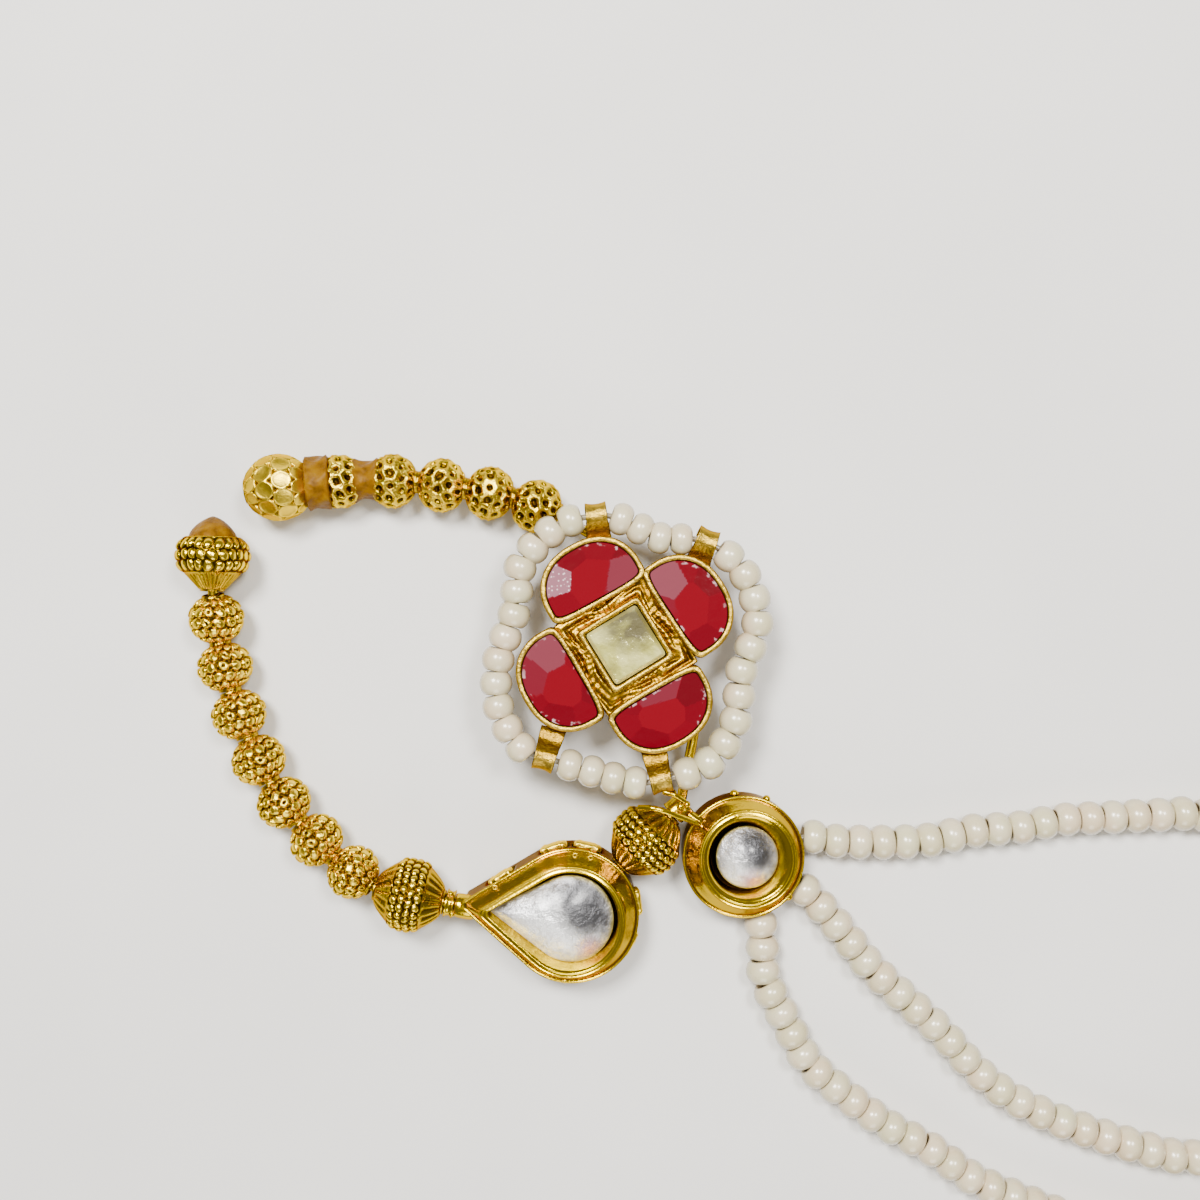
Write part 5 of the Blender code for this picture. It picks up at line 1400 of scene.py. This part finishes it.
class NATH_OT_pearls(Operator):
    """Builds the pearls round the flower and of the three strands"""

    bl_idname = "nath.pearls"
    bl_label = "Pearls"

    def execute(self, context):
        finish = pearl("seed_pearl")
        route, middles, lengths, _ = ring_pearl_places()
        along = route, middles, lengths
        self.string("ring_pearls", along, sizes().ring_pearl_diameter, "pearl_ring", finish)
        for name in STRANDS_MM:
            route = strand_route(name)
            along = route, *strand_pearl_places(route)
            diameter, node = sizes().pearl_diameter, f"pearl_strand_{name}"
            self.string(f"strand_pearls_{name}", along, diameter, node, finish)
        return {"FINISHED"}

    def string(self, name, along, diameter, node, finish):
        """The pearls, and the thread through them as a thin tube."""
        route, middles, lengths = along
        points, faces, hollow_shade, tone = pearls(at(route, middles), headings(route, middles), diameter, lengths)
        places = at(route, np.linspace(0, route[1][-1], 400))
        thread, thread_faces = tube(places, THREAD_RADIUS, 8)
        flat, size = points.reshape(-1, 3), thread[..., 0].size
        points = np.concatenate([flat, thread.reshape(-1, 3)])
        faces = np.concatenate([faces, thread_faces + len(flat)])
        # the thread gets painted shade
        hollow_shade = np.concatenate([hollow_shade.ravel(), np.full(size, 0.6)])
        tone = np.concatenate([tone.ravel(), np.zeros(size)])
        make_piece(name, (points, faces, hollow_shade, tone), finish, [node], ("hollow_shade", "tone"))


class NATH_OT_hair_hook(Operator):
    """Builds the bar and the hook at the strands' far end"""

    bl_idname = "nath.hair_hook"
    bl_label = "Hair Hook"

    def execute(self, context):
        finish = gold("hook_gold", 0.2)
        smoothed_copy("hair_hook", "hair_hook_gold", finish, bevel=0.00015)
        return {"FINISHED"}


class NATH_OT_stage(Operator):
    """Builds the pale floor, the soft lights and the camera"""

    bl_idname = "nath.stage"
    bl_label = "Stage"

    def execute(self, context):
        side = np.array([-FLOOR_REACH, FLOOR_REACH])
        x, y = np.meshgrid(side, side)
        finish = Nodes("pale_floor")
        base = finish.colours(finish.noise(30, 3), [(0.3, (0.76, 0.75, 0.73)), (0.7, (0.82, 0.81, 0.79))])
        points = np.stack([x, y, np.full_like(x, FLOOR_HEIGHT)], -1).reshape(-1, 3)
        mesh = bpy.data.meshes.new("floor")
        mesh.from_pydata(points.tolist(), [], grid_faces(1, 2, 2, close_columns=False).tolist())
        mesh.materials.append(finish.finish(Base_Color=base, Roughness=0.75))
        floor = bpy.data.objects.new("floor", mesh)
        context.scene.collection.objects.link(floor)
        for light in LIGHTS:
            self.light(*light)
        world = bpy.data.worlds.new("studio")
        world.use_nodes = True
        background = world.node_tree.nodes["Background"]
        background.inputs["Color"].default_value = WORLD_COLOUR
        background.inputs["Strength"].default_value = WORLD_STRENGTH
        context.scene.world = world
        data = bpy.data.cameras.new("camera")
        data.sensor_width = 36
        data.lens = CAMERA_LENS
        data.clip_start = 0.001
        camera = bpy.data.objects.new("camera", data)
        camera.location = CAMERA_PLACE
        context.scene.collection.objects.link(camera)
        context.scene.camera = camera
        return {"FINISHED"}

    def light(self, name, place, size, power, tint):
        """A square soft light that looks at the jewel's middle."""
        data = bpy.data.lights.new(name, "AREA")
        data.size = size
        data.energy = power
        data.color = tint
        light = bpy.data.objects.new(name, data)
        light.location = place
        away = light.location - Vector(LIGHT_TARGET)
        light.rotation_euler = away.to_track_quat("Z", "Y").to_euler()
        bpy.context.scene.collection.objects.link(light)


OPERATORS = (
    NATH_OT_stage, NATH_OT_small_beads, NATH_OT_large_beads, NATH_OT_wires, NATH_OT_wax, NATH_OT_teardrop,
    NATH_OT_round, NATH_OT_flower, NATH_OT_pearls, NATH_OT_hair_hook,
)


class NATH_PT_panel(Panel):
    """Lists the pieces of the nath"""

    bl_idname = "NATH_PT_panel"
    bl_label = "Bridal Nath"
    bl_space_type = "VIEW_3D"
    bl_region_type = "UI"
    bl_category = "Nath"

    def draw(self, context):
        for operator in OPERATORS:
            self.layout.operator(operator.bl_idname)
        for group in (context.scene.nath_sizes, context.scene.nath_colours):
            for key in group.bl_rna.properties.keys():
                if key not in ("rna_type", "name"):
                    self.layout.prop(group, key)


CLASSES = (NathSizes, NathColours, *OPERATORS, NATH_PT_panel)


def register():
    for item in CLASSES:
        bpy.utils.register_class(item)
    bpy.types.Scene.nath_sizes = PointerProperty(type=NathSizes)
    bpy.types.Scene.nath_colours = PointerProperty(type=NathColours)


def unregister():
    del bpy.types.Scene.nath_colours
    del bpy.types.Scene.nath_sizes
    for item in reversed(CLASSES):
        bpy.utils.unregister_class(item)


def main():
    """Registers everything and runs each operator in turn."""
    register()
    for operator in OPERATORS:
        group, name = operator.bl_idname.split(".")
        getattr(getattr(bpy.ops, group), name)()
    bpy.context.view_layer.update()


if __name__ == "__main__":
    main()
